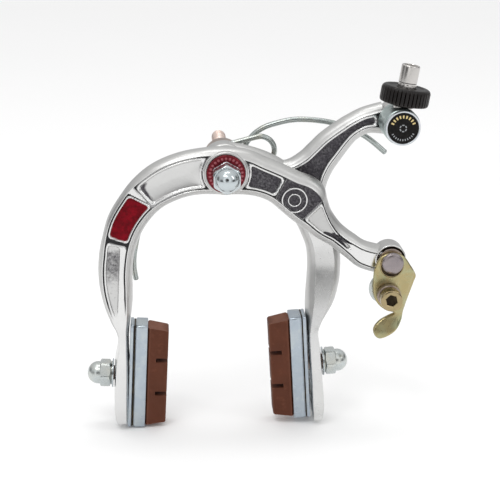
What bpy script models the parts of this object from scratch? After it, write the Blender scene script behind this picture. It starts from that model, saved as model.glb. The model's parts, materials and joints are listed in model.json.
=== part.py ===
"""Side-pull rim brake caliper with long-reach arms, a cable adjuster and a quick release.

Frame: the origin is the centre of the centre bolt's tail end. The bolt lies along Y at x = z = 0,
and the front of the brake faces -Y. +Z is up and +X is the cable side; left means -X.
Lengths are in millimetres and become metres where meshes are made. Every piece is modelled with
the frame seat (the rear face of the spring block) at y = 0 and hangs on one empty, which puts the
seat BOLT_TAIL in front of the origin. Places given as pairs are (x, z).
"""
import bpy
import bmesh
import math
import numpy as np
from mathutils import Matrix, Vector

MM = 0.001
FORWARD = (0, -1, 0)

# ---------------------------------------------------------------- driving dimensions (mm)
BOLT_R = 3.0             # M6 centre bolt
BORE_R = 3.35            # clearance bore for an M6 bolt
BOLT_TAIL = 34.0         # thread behind the frame seat
BLOCK_R, BLOCK_LEN = 7.3, 10.4
WIRE_R = 1.1             # return spring wire
WIRE_Y = -BLOCK_LEN / 2  # the wire crosses the block half way along it
WIRE_Z = 5.05            # height at which the wire crosses, over the bolt axis
SPRING_TILT = math.radians(13.7)          # slope of the wire through the block
REAR_BACK, REAR_FRONT = -11.2, -19.4      # rear arm faces
FRONT_BACK, FRONT_FRONT = -20.8, -29.5    # front arm faces
BOSS_R = 8.4
BOSS_PROUD = 0.6         # front boss beyond the front arm's face
NUT_AF = 10.0            # M6 nuts, across flats
PADDLE_Y = -20.0         # middle of both paddles
ANCHOR = (63.9, -35.6)   # quick-release pivot on the front arm
CLAMP = (62.8, -48.6)    # cable clamp bolt in the lever
EYE = (65.8, 17.4)       # adjuster swivel on the rear arm

# ---------------------------------------------------------------- mesh settings
SHARP_ANGLE = math.radians(32)
CURVE_STEPS = 2          # points per span of every smoothed curve
CUT_OVERRUN = 2.0        # how far a panel cutter stands in front of the arm

for old in list(bpy.data.objects):
    bpy.data.objects.remove(old, do_unlink=True)


# ---------------------------------------------------------------- materials
def material(name, colour, roughness, metallic):
    mat = bpy.data.materials.new(name)
    mat.use_nodes = True
    shader = mat.node_tree.nodes["Principled BSDF"]
    shader.inputs["Base Color"].default_value = (*colour, 1)
    shader.inputs["Roughness"].default_value = roughness
    shader.inputs["Metallic"].default_value = metallic
    mat.diffuse_color = (*colour, 1)
    return mat


POLISHED = material("polished_aluminium", colour=(0.80, 0.80, 0.79), roughness=0.18, metallic=1.0)
ZINC = material("zinc_plate", colour=(0.62, 0.66, 0.70), roughness=0.32, metallic=1.0)
STEEL = material("spring_steel", colour=(0.50, 0.50, 0.49), roughness=0.35, metallic=1.0)
COPPERY = material("bolt_tail_finish", colour=(0.75, 0.58, 0.50), roughness=0.35, metallic=1.0)
BROWN = material("brown_rubber", colour=(0.14, 0.045, 0.022), roughness=0.75, metallic=0.0)
BLACK = material("black_plastic", colour=(0.02, 0.018, 0.018), roughness=0.45, metallic=0.0)
RED = material("red_anodised", colour=(0.40, 0.01, 0.02), roughness=0.30, metallic=0.7)
YELLOW = material("yellow_chromate", colour=(0.55, 0.44, 0.20), roughness=0.35, metallic=1.0)
BRUSHED = material("brushed_aluminium", colour=(0.60, 0.61, 0.62), roughness=0.35, metallic=1.0)
BRONZE = material("bronze_block", colour=(0.40, 0.33, 0.28), roughness=0.45, metallic=1.0)


# ---------------------------------------------------------------- placing and mesh basics
def axis_matrix(origin, axis):
    """Local Z along axis, through origin, with local X level. The axis must not be vertical."""
    local_z = Vector(axis).normalized()
    local_x = Vector((0, 0, 1)).cross(local_z).normalized()
    place = Matrix((local_x, local_z.cross(local_x), local_z)).transposed().to_4x4()
    place.translation = Vector(origin) * MM
    return place


def facing_front(at=(0, 0), y=0):
    """Local Z towards the front; with y = 0, local heights are distances from the seat."""
    return axis_matrix((at[0], y, at[1]), FORWARD)


ON_BOLT = facing_front()


def add_verts(bm, points):
    return [bm.verts.new((x * MM, y * MM, z * MM)) for x, y, z in points]


def from_bmesh(name, bm, mat):
    """Turns a bmesh into a smooth-shaded object whose normals agree and point outwards."""
    bmesh.ops.recalc_face_normals(bm, faces=bm.faces[:])
    if bm.calc_volume(signed=True) < 0:
        bmesh.ops.reverse_faces(bm, faces=bm.faces[:])
    mesh = bpy.data.meshes.new(name)
    bm.to_mesh(mesh)
    bm.free()
    mesh.shade_smooth()
    mesh.set_sharp_from_angle(angle=SHARP_ANGLE)
    ob = bpy.data.objects.new(name, mesh)
    bpy.context.scene.collection.objects.link(ob)
    if mat:
        mesh.materials.append(mat)
    return ob


def extrude(bm, offset):
    """Extrudes a bmesh's single face by an offset in millimetres."""
    out = bmesh.ops.extrude_face_region(bm, geom=bm.faces[:])
    moved = [v for v in out["geom"] if isinstance(v, bmesh.types.BMVert)]
    bmesh.ops.translate(bm, verts=moved, vec=[c * MM for c in offset])


def bevel(ob, width, segments, min_angle):
    mod = ob.modifiers.new("edges", "BEVEL")
    mod.width = width * MM
    mod.segments = segments
    mod.limit_method = "ANGLE"
    mod.angle_limit = math.radians(min_angle)


def combine(target, operation, *tools):
    """Adds one boolean per tool, in order. Tools are shown as wires and not rendered."""
    for tool in tools:
        mod = target.modifiers.new(operation.lower() + "_" + tool.name, "BOOLEAN")
        mod.object = tool
        mod.operation = operation
        mod.solver = "EXACT"
        tool.hide_render = True
        tool.display_type = "WIRE"


def cut(target, *tools):
    combine(target, "DIFFERENCE", *tools)


def fuse(target, *tools):
    combine(target, "UNION", *tools)


# ---------------------------------------------------------------- basic solids
def turned(name, profile, mat, place=ON_BOLT, steps=28):
    """Spins (radius, height) points round local Z.

    A profile that starts on the axis also ends there; any other is closed into a ring.
    """
    bm = bmesh.new()
    verts = add_verts(bm, [(radius, 0, height) for radius, height in profile])
    edges = [bm.edges.new(pair) for pair in zip(verts, verts[1:])]
    if profile[0][0] > 0:
        edges.append(bm.edges.new((verts[-1], verts[0])))
    bmesh.ops.spin(bm, geom=verts + edges, cent=(0, 0, 0), axis=(0, 0, 1),
                   angle=2 * math.pi, steps=steps, use_merge=True)
    bmesh.ops.remove_doubles(bm, verts=bm.verts[:], dist=1e-6)
    bmesh.ops.dissolve_degenerate(bm, edges=bm.edges[:], dist=1e-7)
    ob = from_bmesh(name, bm, mat)
    ob.matrix_world = place
    return ob


def cylinder(name, radius, start, end, steps, place=ON_BOLT):
    """A plain cylinder between two heights, for booleans."""
    profile = [(0, start), (radius, start), (radius, end), (0, end)]
    return turned(name, profile, None, place, steps)


def ring(name, r_in, r_out, start, end, mat, place, steps=28):
    profile = [(r_in, start), (r_in, end), (r_out, end), (r_out, start)]
    return turned(name, profile, mat, place, steps)


def washer(name, r_in, r_out, y_front, y_back, mat, at=(0, 0), steps=28):
    """A ring between two planes of constant y, with its origin on the back one."""
    ring(name, r_in, r_out, 0, y_back - y_front, mat, facing_front(at, y_back), steps)


def hex_prism(name, across_flats, height, mat, place, turn, chamfer=0.35):
    bm = bmesh.new()
    bmesh.ops.create_circle(bm, cap_ends=True, segments=6,
                            radius=across_flats / math.sqrt(3) * MM,
                            matrix=Matrix.Rotation(turn, 4, "Z"))
    extrude(bm, (0, 0, height))
    ob = from_bmesh(name, bm, mat)
    ob.matrix_world = place
    if chamfer:
        bevel(ob, chamfer, segments=1, min_angle=70)
    return ob


DOME_R, DOME_SKIRT, DOME_RISE = 4.5, 0.9, 4.2


def acorn_nut(name, place, hex_height, turn, bore_depth):
    """A hexagon with a dome on top and a blind bore from below."""
    nut = hex_prism(name, NUT_AF, hex_height, ZINC, place, turn)
    spring_line = hex_height + DOME_SKIRT
    profile = [(0, hex_height - 1), (DOME_R, hex_height - 1), (DOME_R, spring_line)]
    profile += [(DOME_R * math.cos(a), spring_line + DOME_RISE * math.sin(a))
                for a in np.linspace(0.35, 1.25, 4)]
    profile.append((0, spring_line + DOME_RISE))
    fuse(nut, turned(name + "_dome", profile, None, place, steps=20))
    cut(nut, cylinder(name + "_bore", BORE_R, -1, bore_depth, 16, place))


def prism(name, outline, y_front, y_back, mat=None):
    """A plate with an outline of (x, z) points, between two planes of constant y."""
    bm = bmesh.new()
    bm.faces.new(add_verts(bm, [(x, y_front, z) for x, z in outline]))
    extrude(bm, (0, y_back - y_front, 0))
    return from_bmesh(name, bm, mat)


def skin(name, rings, mat, triangulate=False):
    """Joins equal rings of points in order, with flat ends."""
    bm = bmesh.new()
    loops = [add_verts(bm, points) for points in rings]
    count = len(loops[0])
    for low, high in zip(loops, loops[1:]):
        for k in range(count):
            after = (k + 1) % count
            bm.faces.new((low[k], low[after], high[after], high[k]))
    bm.faces.new(loops[0])
    bm.faces.new(loops[-1][::-1])
    if triangulate:
        bmesh.ops.triangulate(bm, faces=bm.faces[:])
    return from_bmesh(name, bm, mat)


def box_loft(name, levels, mat, place):
    """Rectangles stacked along local Z: each level is (height, half length, half width)."""
    corners = ((-1, -1), (1, -1), (1, 1), (-1, 1))
    rings = [[(sx * half_length, sy * half_width, height) for sx, sy in corners]
             for height, half_length, half_width in levels]
    ob = skin(name, rings, mat)
    ob.matrix_world = place
    return ob


# ---------------------------------------------------------------- smooth curves
def catmull(points, s):
    """The Catmull-Rom curve through rows of numbers; s counts rows."""
    rows = np.asarray(points, float)
    i = int(min(max(math.floor(s), 0), len(rows) - 2))
    t = s - i
    a, b, c, d = rows[max(i - 1, 0)], rows[i], rows[i + 1], rows[min(i + 2, len(rows) - 1)]
    return 0.5 * (2 * b + (c - a) * t + (2 * a - 5 * b + 4 * c - d) * t * t
                  + (3 * b - a - 3 * c + d) * t ** 3)


def smooth_path(points):
    return [catmull(points, k / CURVE_STEPS) for k in range((len(points) - 1) * CURVE_STEPS + 1)]


def smooth_outline(points):
    wrapped = [points[-1], *points, points[0], points[1]]
    return [catmull(wrapped, 1 + k / CURVE_STEPS) for k in range(len(points) * CURVE_STEPS)]


# ---------------------------------------------------------------- pivot stack
BOLT_FRONT = 41.5        # the bolt's front end, from the seat
BOLT_CHAMFER = 0.5
BLOCK_CHAMFER = 1.2
STACK_GAP = 0.25         # between neighbours in the stack
MID_GAP = 0.3            # each side of the washer between the arms
RING_R, RING_T = 7.3, 1.0
LOCK_NUT_T = 2.9


def centre_bolt():
    shoulder = BOLT_R - BOLT_CHAMFER
    turned("centre_bolt", [(0, -BOLT_TAIL), (shoulder, -BOLT_TAIL),
                           (BOLT_R, -BOLT_TAIL + BOLT_CHAMFER),
                           (BOLT_R, BOLT_FRONT - BOLT_CHAMFER),
                           (shoulder, BOLT_FRONT), (0, BOLT_FRONT)], COPPERY, steps=32)


def spring_block():
    block = turned("spring_block", [(BORE_R, 0), (BLOCK_R, 0),
                                    (BLOCK_R, BLOCK_LEN - BLOCK_CHAMFER),
                                    (BLOCK_R - BLOCK_CHAMFER, BLOCK_LEN),
                                    (BORE_R, BLOCK_LEN)], BRONZE, steps=32)
    along_wire = axis_matrix((0, WIRE_Y, WIRE_Z),
                             (math.cos(SPRING_TILT), 0, math.sin(SPRING_TILT)))
    cut(block, cylinder("block_wire_hole", WIRE_R + 0.3, -12, 12, 16, along_wire))


def pivot_washers_and_nuts():
    washer("rear_thrust_washer", BORE_R, 7.0, REAR_BACK + STACK_GAP, -BLOCK_LEN - 0.2, ZINC,
           steps=26)
    washer("mid_thrust_washer", BORE_R, 7.4, FRONT_BACK + MID_GAP, REAR_FRONT - MID_GAP, ZINC,
           steps=26)
    ring_back = FRONT_FRONT - BOSS_PROUD - STACK_GAP
    ring_front = ring_back - RING_T
    washer("front_ring_washer", BORE_R, RING_R, ring_front, ring_back, RED, steps=30)
    nut_back = ring_front - STACK_GAP
    place = facing_front(y=nut_back)
    nut = hex_prism("pivot_lock_nut", NUT_AF, LOCK_NUT_T, ZINC, place, turn=math.pi / 6)
    cut(nut, cylinder("lock_nut_bore", BORE_R, -1, 5, 24, place))
    acorn_nut("pivot_acorn_nut", facing_front(y=nut_back - LOCK_NUT_T - STACK_GAP),
              hex_height=5.2, turn=math.pi / 6, bore_depth=8.0)


# ---------------------------------------------------------------- return spring
COIL_R = 5.8
COIL_STEP = 27           # degrees between points round a coil eye
BAR_X = (-6.6, -3.5, 0.0, 3.5, 6.6)
# Legs as (x, y, z), from the coil eye outwards.
RIGHT_LEG = [(14.2, -2.4, 10.2), (20.0, -2.4, 12.8), (30.4, -2.6, 14.6), (44.3, -3.4, 13.0),
             (56.0, -4.6, 8.2), (64.6, -5.2, 1.4)]
LEFT_LEG = [(-23.4, -3.0, -8.8), (-28.8, -4.0, -17.0), (-33.1, -5.2, -26.5),
            (-35.7, -6.6, -37.0), (-36.2, -7.4, -43.5), (-35.5, -7.6, -48.8)]


def coil(centre, start, step, count, rise):
    """A coil eye in the XZ plane that moves rearwards by rise; angles in degrees."""
    points = []
    for k in range(count + 1):
        angle = math.radians(start + step * k)
        points.append((centre[0] + COIL_R * math.cos(angle), WIRE_Y + rise * k / count,
                       centre[1] + COIL_R * math.sin(angle)))
    return points


def spring_points():
    """One wire: left leg, left coil eye, bar through the block, right coil eye, right leg.

    The bar slopes through the block, so the right eye sits higher than the left one.
    """
    slope = math.tan(SPRING_TILT)
    bar = [(x, WIRE_Y, WIRE_Z + slope * x) for x in BAR_X]
    # Seen from the front: clockwise, just short of a full turn.
    right = coil((14.7, 2.7), start=100, step=-COIL_STEP, count=12, rise=2.7) + RIGHT_LEG
    # Anticlockwise, a little over a full turn.
    left = coil((-14.0, -4.9), start=105, step=COIL_STEP, count=15, rise=3.0) + LEFT_LEG
    return left[::-1] + bar + right


def return_spring():
    curve = bpy.data.curves.new("return_spring", "CURVE")
    curve.dimensions = "3D"
    curve.bevel_depth = WIRE_R * MM
    curve.bevel_resolution = 1
    curve.use_fill_caps = True
    curve.resolution_u = 2
    spline = curve.splines.new("POLY")
    path = smooth_path(spring_points())
    spline.points.add(len(path) - 1)
    for point, (x, y, z) in zip(spline.points, path):
        point.co = (x * MM, y * MM, z * MM, 1)
    curve.materials.append(STEEL)
    ob = bpy.data.objects.new("return_spring", curve)
    bpy.context.scene.collection.objects.link(ob)


# ---------------------------------------------------------------- arms: shared shapes
SLOT_W, SLOT_LEN = 6.7, 20.7
SLOT_CUT = 20.0          # length of the slot cutter along X


def arm_section(station):
    """The forged section at one station, as a ring of points."""
    outer_x, outer_z, inner_x, inner_z, front, back = station
    width = math.hypot(inner_x - outer_x, inner_z - outer_z)
    across_x, across_z = (inner_x - outer_x) / width, (inner_z - outer_z) / width
    inset = min(2.6, 0.24 * width)
    depth = back - front
    # Four levels between the faces, front to back; the middle two bound the flat edge.
    level_a, level_b, level_c, level_d = (front + k * depth for k in (0.18, 0.42, 0.62, 0.88))
    # (distance from the outer edge, y)
    section = [(inset, front), (width - inset, front), (width - 0.32 * inset, level_a),
               (width, level_b), (width, level_c), (width - 0.4 * inset, level_d),
               (width - inset, back), (inset, back), (0.4 * inset, level_d),
               (0, level_c), (0, level_b), (0.32 * inset, level_a)]
    return [(outer_x + across_x * a, y, outer_z + across_z * a) for a, y in section]


def arm_loft(name, stations, front, back, mat):
    """Lofts the section through its stations; four-number ones take the given faces."""
    full = [row if len(row) == 6 else (*row, front, back) for row in stations]
    return skin(name, [arm_section(row) for row in smooth_path(full)], mat, triangulate=True)


def slot_cutter(name, x, z):
    """An upright round-ended slot through a paddle, along X, centred on x and z."""
    radius = SLOT_W / 2
    straight = SLOT_LEN / 2 - radius
    outline = [(radius * math.cos(a), straight + radius * math.sin(a))
               for a in np.linspace(0, math.pi, 9)]
    outline += [(-u, -v) for u, v in outline]
    bm = bmesh.new()
    bm.faces.new(add_verts(bm, [(-SLOT_CUT / 2, u, v) for u, v in outline]))
    extrude(bm, (SLOT_CUT, 0, 0))
    ob = from_bmesh(name, bm, None)
    ob.matrix_world = Matrix.Translation((x * MM, PADDLE_Y * MM, z * MM))
    return ob


# Stations of all arms: outer or upper edge x, z; inner or lower edge x, z; front face y; back
# face y. The last two are left out where they are the arm's own flat faces.

# ---------------------------------------------------------------- front arm
# From the left paddle, up over the pivot and down to the quick-release anchor.
FRONT_STATIONS = [
    (-44.3, -107.0, -40.6, -107.0, -26.6, -13.4), (-45.1, -104.0, -39.9, -104.0, -27.6, -12.4),
    (-45.3, -98.0, -39.7, -98.0, -28.0, -12.0), (-44.6, -80.0, -39.0, -80.0, -28.0, -12.0),
    (-43.2, -71.5, -38.7, -71.0, -28.0, -12.0), (-43.4, -65.6, -38.4, -64.8, -28.2, -12.6),
    (-45.6, -60.6, -37.6, -59.2, -28.6, -13.8), (-47.6, -54.4, -36.8, -53.2, -29.1, -16.0),
    (-49.1, -46.4, -36.5, -46.2, -29.4, -18.6), (-49.4, -39.1, -36.4, -39.8, FRONT_FRONT, -20.2),
    (-48.7, -31.6, -35.6, -32.9), (-47.3, -25.1, -34.3, -28.3), (-44.8, -17.0, -32.0, -23.0),
    (-40.1, -9.2, -29.0, -18.6), (-34.7, -2.5, -25.6, -15.0), (-27.6, 3.1, -21.5, -12.3),
    (-18.8, 6.9, -15.0, -9.8), (-9.5, 8.8, -8.5, -8.9), (0.0, 9.3, 0.0, -9.2),
    (8.5, 8.0, 6.5, -9.3), (15.0, 5.2, 12.0, -10.2), (21.5, 2.4, 17.0, -12.4),
    (28.0, -0.8, 21.2, -16.0), (33.8, -3.2, 25.5, -19.8), (37.8, -6.9, 30.0, -23.2),
    (39.2, -11.9, 33.6, -26.1), (40.7, -16.2, 36.8, -28.2), (43.9, -21.0, 40.1, -30.1),
    (47.0, -24.0, 43.5, -32.8), (50.1, -26.3, 47.0, -35.7), (54.0, -29.0, 51.5, -39.4),
    (59.2, -30.6, 57.5, -41.6)]
# Sunk panels on the front face, as (x, z) outlines.
FRONT_PANELS = {
    "panel_upper_left": [(-8.9, 4.4), (-17.2, 2.9), (-24.4, -0.8), (-31.2, -6.4),
                         (-27.6, -11.4), (-21.7, -8.2), (-15.4, -6.0), (-9.2, -5.0)],
    "panel_badge": [(-36.0, -9.9), (-33.6, -9.8), (-29.6, -13.0), (-32.2, -18.3),
                    (-34.9, -23.4), (-36.4, -25.8), (-42.0, -23.6), (-40.2, -16.8)],
    "panel_lower_left": [(-43.6, -26.9), (-37.9, -29.4), (-38.0, -45.0), (-39.2, -52.0),
                         (-42.6, -52.4), (-45.4, -46.0), (-46.2, -39.0), (-45.6, -32.0)],
    "panel_right": [(9.9, 1.9), (20.9, -2.6), (17.8, -8.2), (9.2, -5.6)],
    "panel_ring": [(22.9, -3.5), (31.4, -7.1), (33.2, -10.4), (33.2, -14.6), (28.2, -15.4),
                   (20.4, -10.0)],
    "panel_lower_right": [(35.6, -14.2), (40.2, -20.6), (45.6, -26.6), (49.5, -30.6),
                          (47.8, -32.6), (42.6, -28.4), (37.2, -23.6), (33.6, -17.4)],
}
FRONT_PANEL_DEPTH = 1.3
FRONT_SLOT = (-42.2, -88.25)
ANCHOR_R, ANCHOR_BORE_R = 6.1, 2.8
# Bosses as (radius, distance in front of the seat).
FRONT_BOSS = [(0, -FRONT_BACK), (BOSS_R, -FRONT_BACK), (BOSS_R, -FRONT_FRONT + BOSS_PROUD - 0.4),
              (BOSS_R - 0.4, -FRONT_FRONT + BOSS_PROUD), (0, -FRONT_FRONT + BOSS_PROUD)]
ANCHOR_BOSS = [(0, -FRONT_BACK), (ANCHOR_R - 0.8, -FRONT_BACK), (ANCHOR_R, -FRONT_BACK + 1.2),
               (ANCHOR_R, -FRONT_FRONT + 0.2), (ANCHOR_R - 0.8, -FRONT_FRONT + 0.9),
               (0, -FRONT_FRONT + 0.9)]


def front_arm():
    arm = arm_loft("front_arm", FRONT_STATIONS, FRONT_FRONT, FRONT_BACK, POLISHED)
    at_anchor = facing_front(ANCHOR)
    fuse(arm, turned("front_boss", FRONT_BOSS, None, steps=32),
         turned("front_anchor_boss", ANCHOR_BOSS, None, at_anchor, steps=36))
    for name, outline in FRONT_PANELS.items():
        cut(arm, prism(name, smooth_outline(outline), FRONT_FRONT - CUT_OVERRUN,
                       FRONT_FRONT + FRONT_PANEL_DEPTH))
    cut(arm, cylinder("front_bore", BORE_R, 10, 40, 24),
        cylinder("front_anchor_bore", ANCHOR_BORE_R, 10, 40, 20, at_anchor),
        slot_cutter("front_slot", *FRONT_SLOT))


# ---------------------------------------------------------------- rear arm
# The limb runs from the right paddle up to the pivot; the branch runs out to the adjuster eye.
REAR_LIMB = [
    (38.2, -107.9, 35.5, -107.9, -26.6, -13.4), (39.3, -104.6, 34.9, -104.6, -27.6, -12.4),
    (39.6, -99.0, 34.5, -99.0, -28.0, -12.0), (39.0, -88.5, 33.9, -89.0, -28.0, -12.0),
    (37.8, -75.0, 33.0, -76.0, -28.0, -12.0), (37.0, -67.4, 32.5, -68.4, -27.5, -12.0),
    (38.4, -63.6, 32.2, -62.5, -26.7, -11.8), (41.0, -59.8, 32.0, -57.6, -25.7, -11.5),
    (43.7, -55.0, 32.2, -53.0, -24.4, -11.3), (45.6, -48.0, 32.7, -47.0, -22.3, REAR_BACK),
    (46.1, -42.2, 33.0, -42.0, -20.7, REAR_BACK), (46.0, -37.4, 32.9, -37.8, -19.9, REAR_BACK),
    (45.0, -31.8, 32.3, -33.5), (43.2, -26.0, 30.5, -28.7), (40.5, -20.0, 28.1, -23.8),
    (37.5, -13.0, 24.4, -19.0), (31.0, -5.0, 19.5, -14.6), (21.5, 2.2, 13.0, -11.2),
    (12.0, 6.4, 6.5, -9.6), (2.0, 8.9, -0.5, -8.9)]
REAR_BRANCH = [
    (19.5, 1.0, 33.5, -19.0), (24.6, 1.5, 38.6, -12.5), (29.4, 4.3, 40.6, -6.8),
    (33.1, 7.8, 42.6, -2.6), (37.4, 11.9, 45.2, 1.2), (42.9, 15.9, 48.6, 6.0),
    (47.2, 18.6, 51.7, 9.4), (53.3, 21.6, 56.0, 11.6), (60.6, 23.6, 61.8, 11.3)]
# Sunk panel on the branch, as an (x, z) outline.
REAR_PANEL = [
    (36.6, -9.6), (37.0, -2.6), (40.6, 4.0), (46.2, 10.2), (51.2, 14.8), (56.2, 18.0),
    (56.6, 15.0), (52.4, 13.0), (47.2, 8.6), (42.8, 3.0), (39.5, -3.0), (37.6, -7.6)]
REAR_PANEL_DEPTH = 1.2
REAR_SLOT = (36.2, -85.55)
EYE_R, EYE_CHAMFER, EYE_BORE_R = 6.6, 0.6, 3.5
REAR_EYE = [(0, -REAR_BACK), (EYE_R - EYE_CHAMFER, -REAR_BACK), (EYE_R, -REAR_BACK + EYE_CHAMFER),
            (EYE_R, -REAR_FRONT - EYE_CHAMFER), (EYE_R - EYE_CHAMFER, -REAR_FRONT),
            (0, -REAR_FRONT)]


def rear_arm():
    arm = arm_loft("rear_arm", REAR_LIMB, REAR_FRONT, REAR_BACK, POLISHED)
    at_eye = facing_front(EYE)
    fuse(arm, arm_loft("rear_branch", REAR_BRANCH, REAR_FRONT, REAR_BACK, None),
         cylinder("rear_boss", BOSS_R + 0.5, -REAR_BACK, -REAR_FRONT, 32),
         turned("rear_eye", REAR_EYE, None, at_eye, steps=36))
    cut(arm, prism("rear_panel", smooth_outline(REAR_PANEL), REAR_FRONT - CUT_OVERRUN,
                   REAR_FRONT + REAR_PANEL_DEPTH),
        cylinder("rear_bore", BORE_R, 5, 30, 24),
        cylinder("rear_eye_bore", EYE_BORE_R, 5, 30, 24, at_eye),
        slot_cutter("rear_slot", *REAR_SLOT))


# ---------------------------------------------------------------- cable adjuster
BARREL_TILT = math.radians(9.5)   # lean of the barrel's top towards +X
BARREL_Y = -26.6
BARREL_HOLE_R = 3.8
ON_BARREL = axis_matrix((EYE[0], BARREL_Y, EYE[1]),
                        (math.sin(BARREL_TILT), 0, math.cos(BARREL_TILT)))
# Profiles as (radius, height): in front of the seat, or along the barrel from the swivel.
SWIVEL = [(0, 9.4), (2.1, 9.4), (2.4, 9.7), (2.4, 10.95), (3.2, 10.95), (3.2, 19.7),
          (6.9, 19.7), (6.9, 33.2), (0, 33.2)]
SWIVEL_CAP = [(0, 33.5), (6.2, 33.5), (6.6, 33.9), (6.6, 34.8), (6.3, 35.1), (5.9, 35.1),
              (5.7, 34.8), (0, 34.8)]
BARREL = [(1.3, -6.4), (3.5, -6.4), (3.5, 22.3), (3.2, 22.6), (2.6, 22.6), (2.6, 16.0),
          (1.3, 15.0)]
KNOB_NECK = [(0, 7.35), (4.2, 7.35), (4.6, 7.8), (4.6, 9.0), (0, 9.0)]
KNOB_R, KNOB_GRIPS, KNOB_GROOVE = 9.3, 30, 0.35
# (height, share of the knob's radius, share of the groove depth)
KNOB_LEVELS = [(8.0, 0.90, 0.3), (8.5, 0.985, 1), (13.4, 0.985, 1), (14.4, 0.90, 0.4)]


def adjuster_swivel():
    at_eye = facing_front(EYE)
    swivel = turned("adjuster_swivel", SWIVEL, ZINC, at_eye, steps=32)
    cut(swivel, cylinder("swivel_barrel_hole", BARREL_HOLE_R, -12, 12, 28, ON_BARREL))
    washer("swivel_retaining_clip", 2.7, 4.9, -10.85, -10.05, STEEL, EYE)
    turned("swivel_cap", SWIVEL_CAP, BLACK, at_eye, steps=32)


def adjuster_knob():
    """A fluted thumb nut with a plain neck below."""
    corners = 2 * KNOB_GRIPS
    rings = []
    for height, radius_share, groove_share in KNOB_LEVELS:
        points = []
        for i in range(corners):
            angle = 2 * math.pi * i / corners
            radius = KNOB_R * radius_share - i % 2 * KNOB_GROOVE * groove_share
            points.append((radius * math.cos(angle), radius * math.sin(angle), height))
        rings.append(points)
    knob = skin("adjuster_knob", rings, BLACK)
    knob.matrix_world = ON_BARREL
    fuse(knob, turned("knob_neck", KNOB_NECK, None, ON_BARREL))
    cut(knob, cylinder("knob_bore", BARREL_HOLE_R, 5, 18, 28, ON_BARREL))


# ---------------------------------------------------------------- quick release and cable clamp
# Lever outline as (x, z).
LEVER = [
    (57.3, -38.0), (59.4, -33.6), (63.9, -31.9), (68.4, -33.4), (71.4, -37.4), (73.6, -41.4),
    (72.9, -44.4), (70.9, -50.6), (69.3, -56.0), (68.5, -59.4), (66.6, -62.5), (63.5, -64.9),
    (59.8, -66.2), (57.6, -64.8), (57.2, -62.2), (59.4, -59.6), (62.8, -57.7), (65.4, -56.4),
    (62.4, -55.5), (59.2, -53.0), (57.2, -49.2), (56.8, -43.4)]
LEVER_FRONT, LEVER_BACK = -33.2, -31.4
PIVOT_HOLE_R, CLAMP_HOLE_R, CLAMP_NUT_BORE_R = 2.9, 3.0, 2.9
CLAMP_NUT_AF, CLAMP_NUT_T, CLAMP_NUT_BACK = 8.0, 4.0, -25.6
SOCKET_AF, SOCKET_FLOOR = 4.1, -38.4
# Profiles as (radius, distance in front of the seat).
RIVET = [(0, 18.9), (2.0, 18.9), (4.0, 19.4), (4.0, 20.5), (2.5, 20.5), (2.5, 33.5),
         (4.2, 33.5), (4.2, 34.6), (3.4, 35.6), (1.5, 36.1), (0, 36.2)]
CLAMP_BOLT = [(0, 24.4), (2.2, 24.4), (2.6, 24.8), (2.6, 36.5), (4.0, 36.5), (4.25, 36.8),
              (4.25, 40.6), (3.8, 41.1), (0, 41.1)]


def quick_release():
    at_anchor = facing_front(ANCHOR)
    lever = prism("quick_release_lever", LEVER, LEVER_FRONT, LEVER_BACK, YELLOW)
    # The lever's origin is on its pivot.
    pivot = Vector((ANCHOR[0] * MM, 0, ANCHOR[1] * MM))
    lever.data.transform(Matrix.Translation(-pivot))
    lever.location = pivot
    bevel(lever, 0.3, segments=2, min_angle=40)
    cut(lever, cylinder("lever_pivot_hole", PIVOT_HOLE_R, 20, 40, 20, at_anchor),
        cylinder("lever_clamp_hole", CLAMP_HOLE_R, 20, 40, 20, facing_front(CLAMP)))
    turned("lever_rivet", RIVET, ZINC, at_anchor)
    washer("lever_spacer", 2.8, 5.4, -31.15, -30.65, ZINC, ANCHOR, steps=24)


def cable_clamp():
    bolt = turned("cable_clamp_bolt", CLAMP_BOLT, ZINC, facing_front(CLAMP))
    cut(bolt, hex_prism("clamp_bolt_socket", SOCKET_AF, 6, None,
                        facing_front(CLAMP, SOCKET_FLOOR), turn=0.3, chamfer=0))
    washer("cable_clamp_collar", CLAMP_HOLE_R, 4.6, -36.2, -33.5, YELLOW, CLAMP)
    washer("cable_clamp_washer", CLAMP_HOLE_R, 5.4, -31.1, -29.9, ZINC, CLAMP)
    place = facing_front(CLAMP, CLAMP_NUT_BACK)
    nut = hex_prism("cable_clamp_nut", CLAMP_NUT_AF, CLAMP_NUT_T, ZINC, place,
                    turn=math.pi / 6, chamfer=0.3)
    cut(nut, cylinder("clamp_nut_bore", CLAMP_NUT_BORE_R, -1, 5, 20, place))


# ---------------------------------------------------------------- brake shoes
# Shoe frame: local X up the pad, local Z towards the rim, origin on the paddle's inner face.
SHOE_TILT = math.radians(3.2)
HALF_LEN, HALF_W = 22.0, 5.2      # pad holder
HOLDER_T = 6.6
GROOVE_OFFSETS = (7.2, -7.2)      # from the pad's middle
# Levels as (height, half length, half width).
HOLDER = [(0.55, HALF_LEN - 0.5, HALF_W - 0.4), (1.1, HALF_LEN, HALF_W),
          (HOLDER_T + 0.5, HALF_LEN, HALF_W)]
CAVITY = [(2.6, HALF_LEN - 1.5, HALF_W - 1.3), (12, HALF_LEN - 1.5, HALF_W - 1.3)]
RUBBER = [(3.6, HALF_LEN - 1.8, HALF_W - 1.7), (HOLDER_T + 0.6, HALF_LEN - 1.8, HALF_W - 1.7),
          (HOLDER_T + 0.8, HALF_LEN - 1.0, HALF_W - 0.6), (15.4, HALF_LEN - 2.2, HALF_W - 0.9)]
GROOVE = [(10.6, 0.9, 10), (18, 0.9, 10)]
# (radius, height)
STUD = [(0, 3.3), (3.6, 3.3), (3.6, 2.9), (3.0, 2.9), (3.0, -11.6), (2.6, -12.0), (0, -12.0)]


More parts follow.
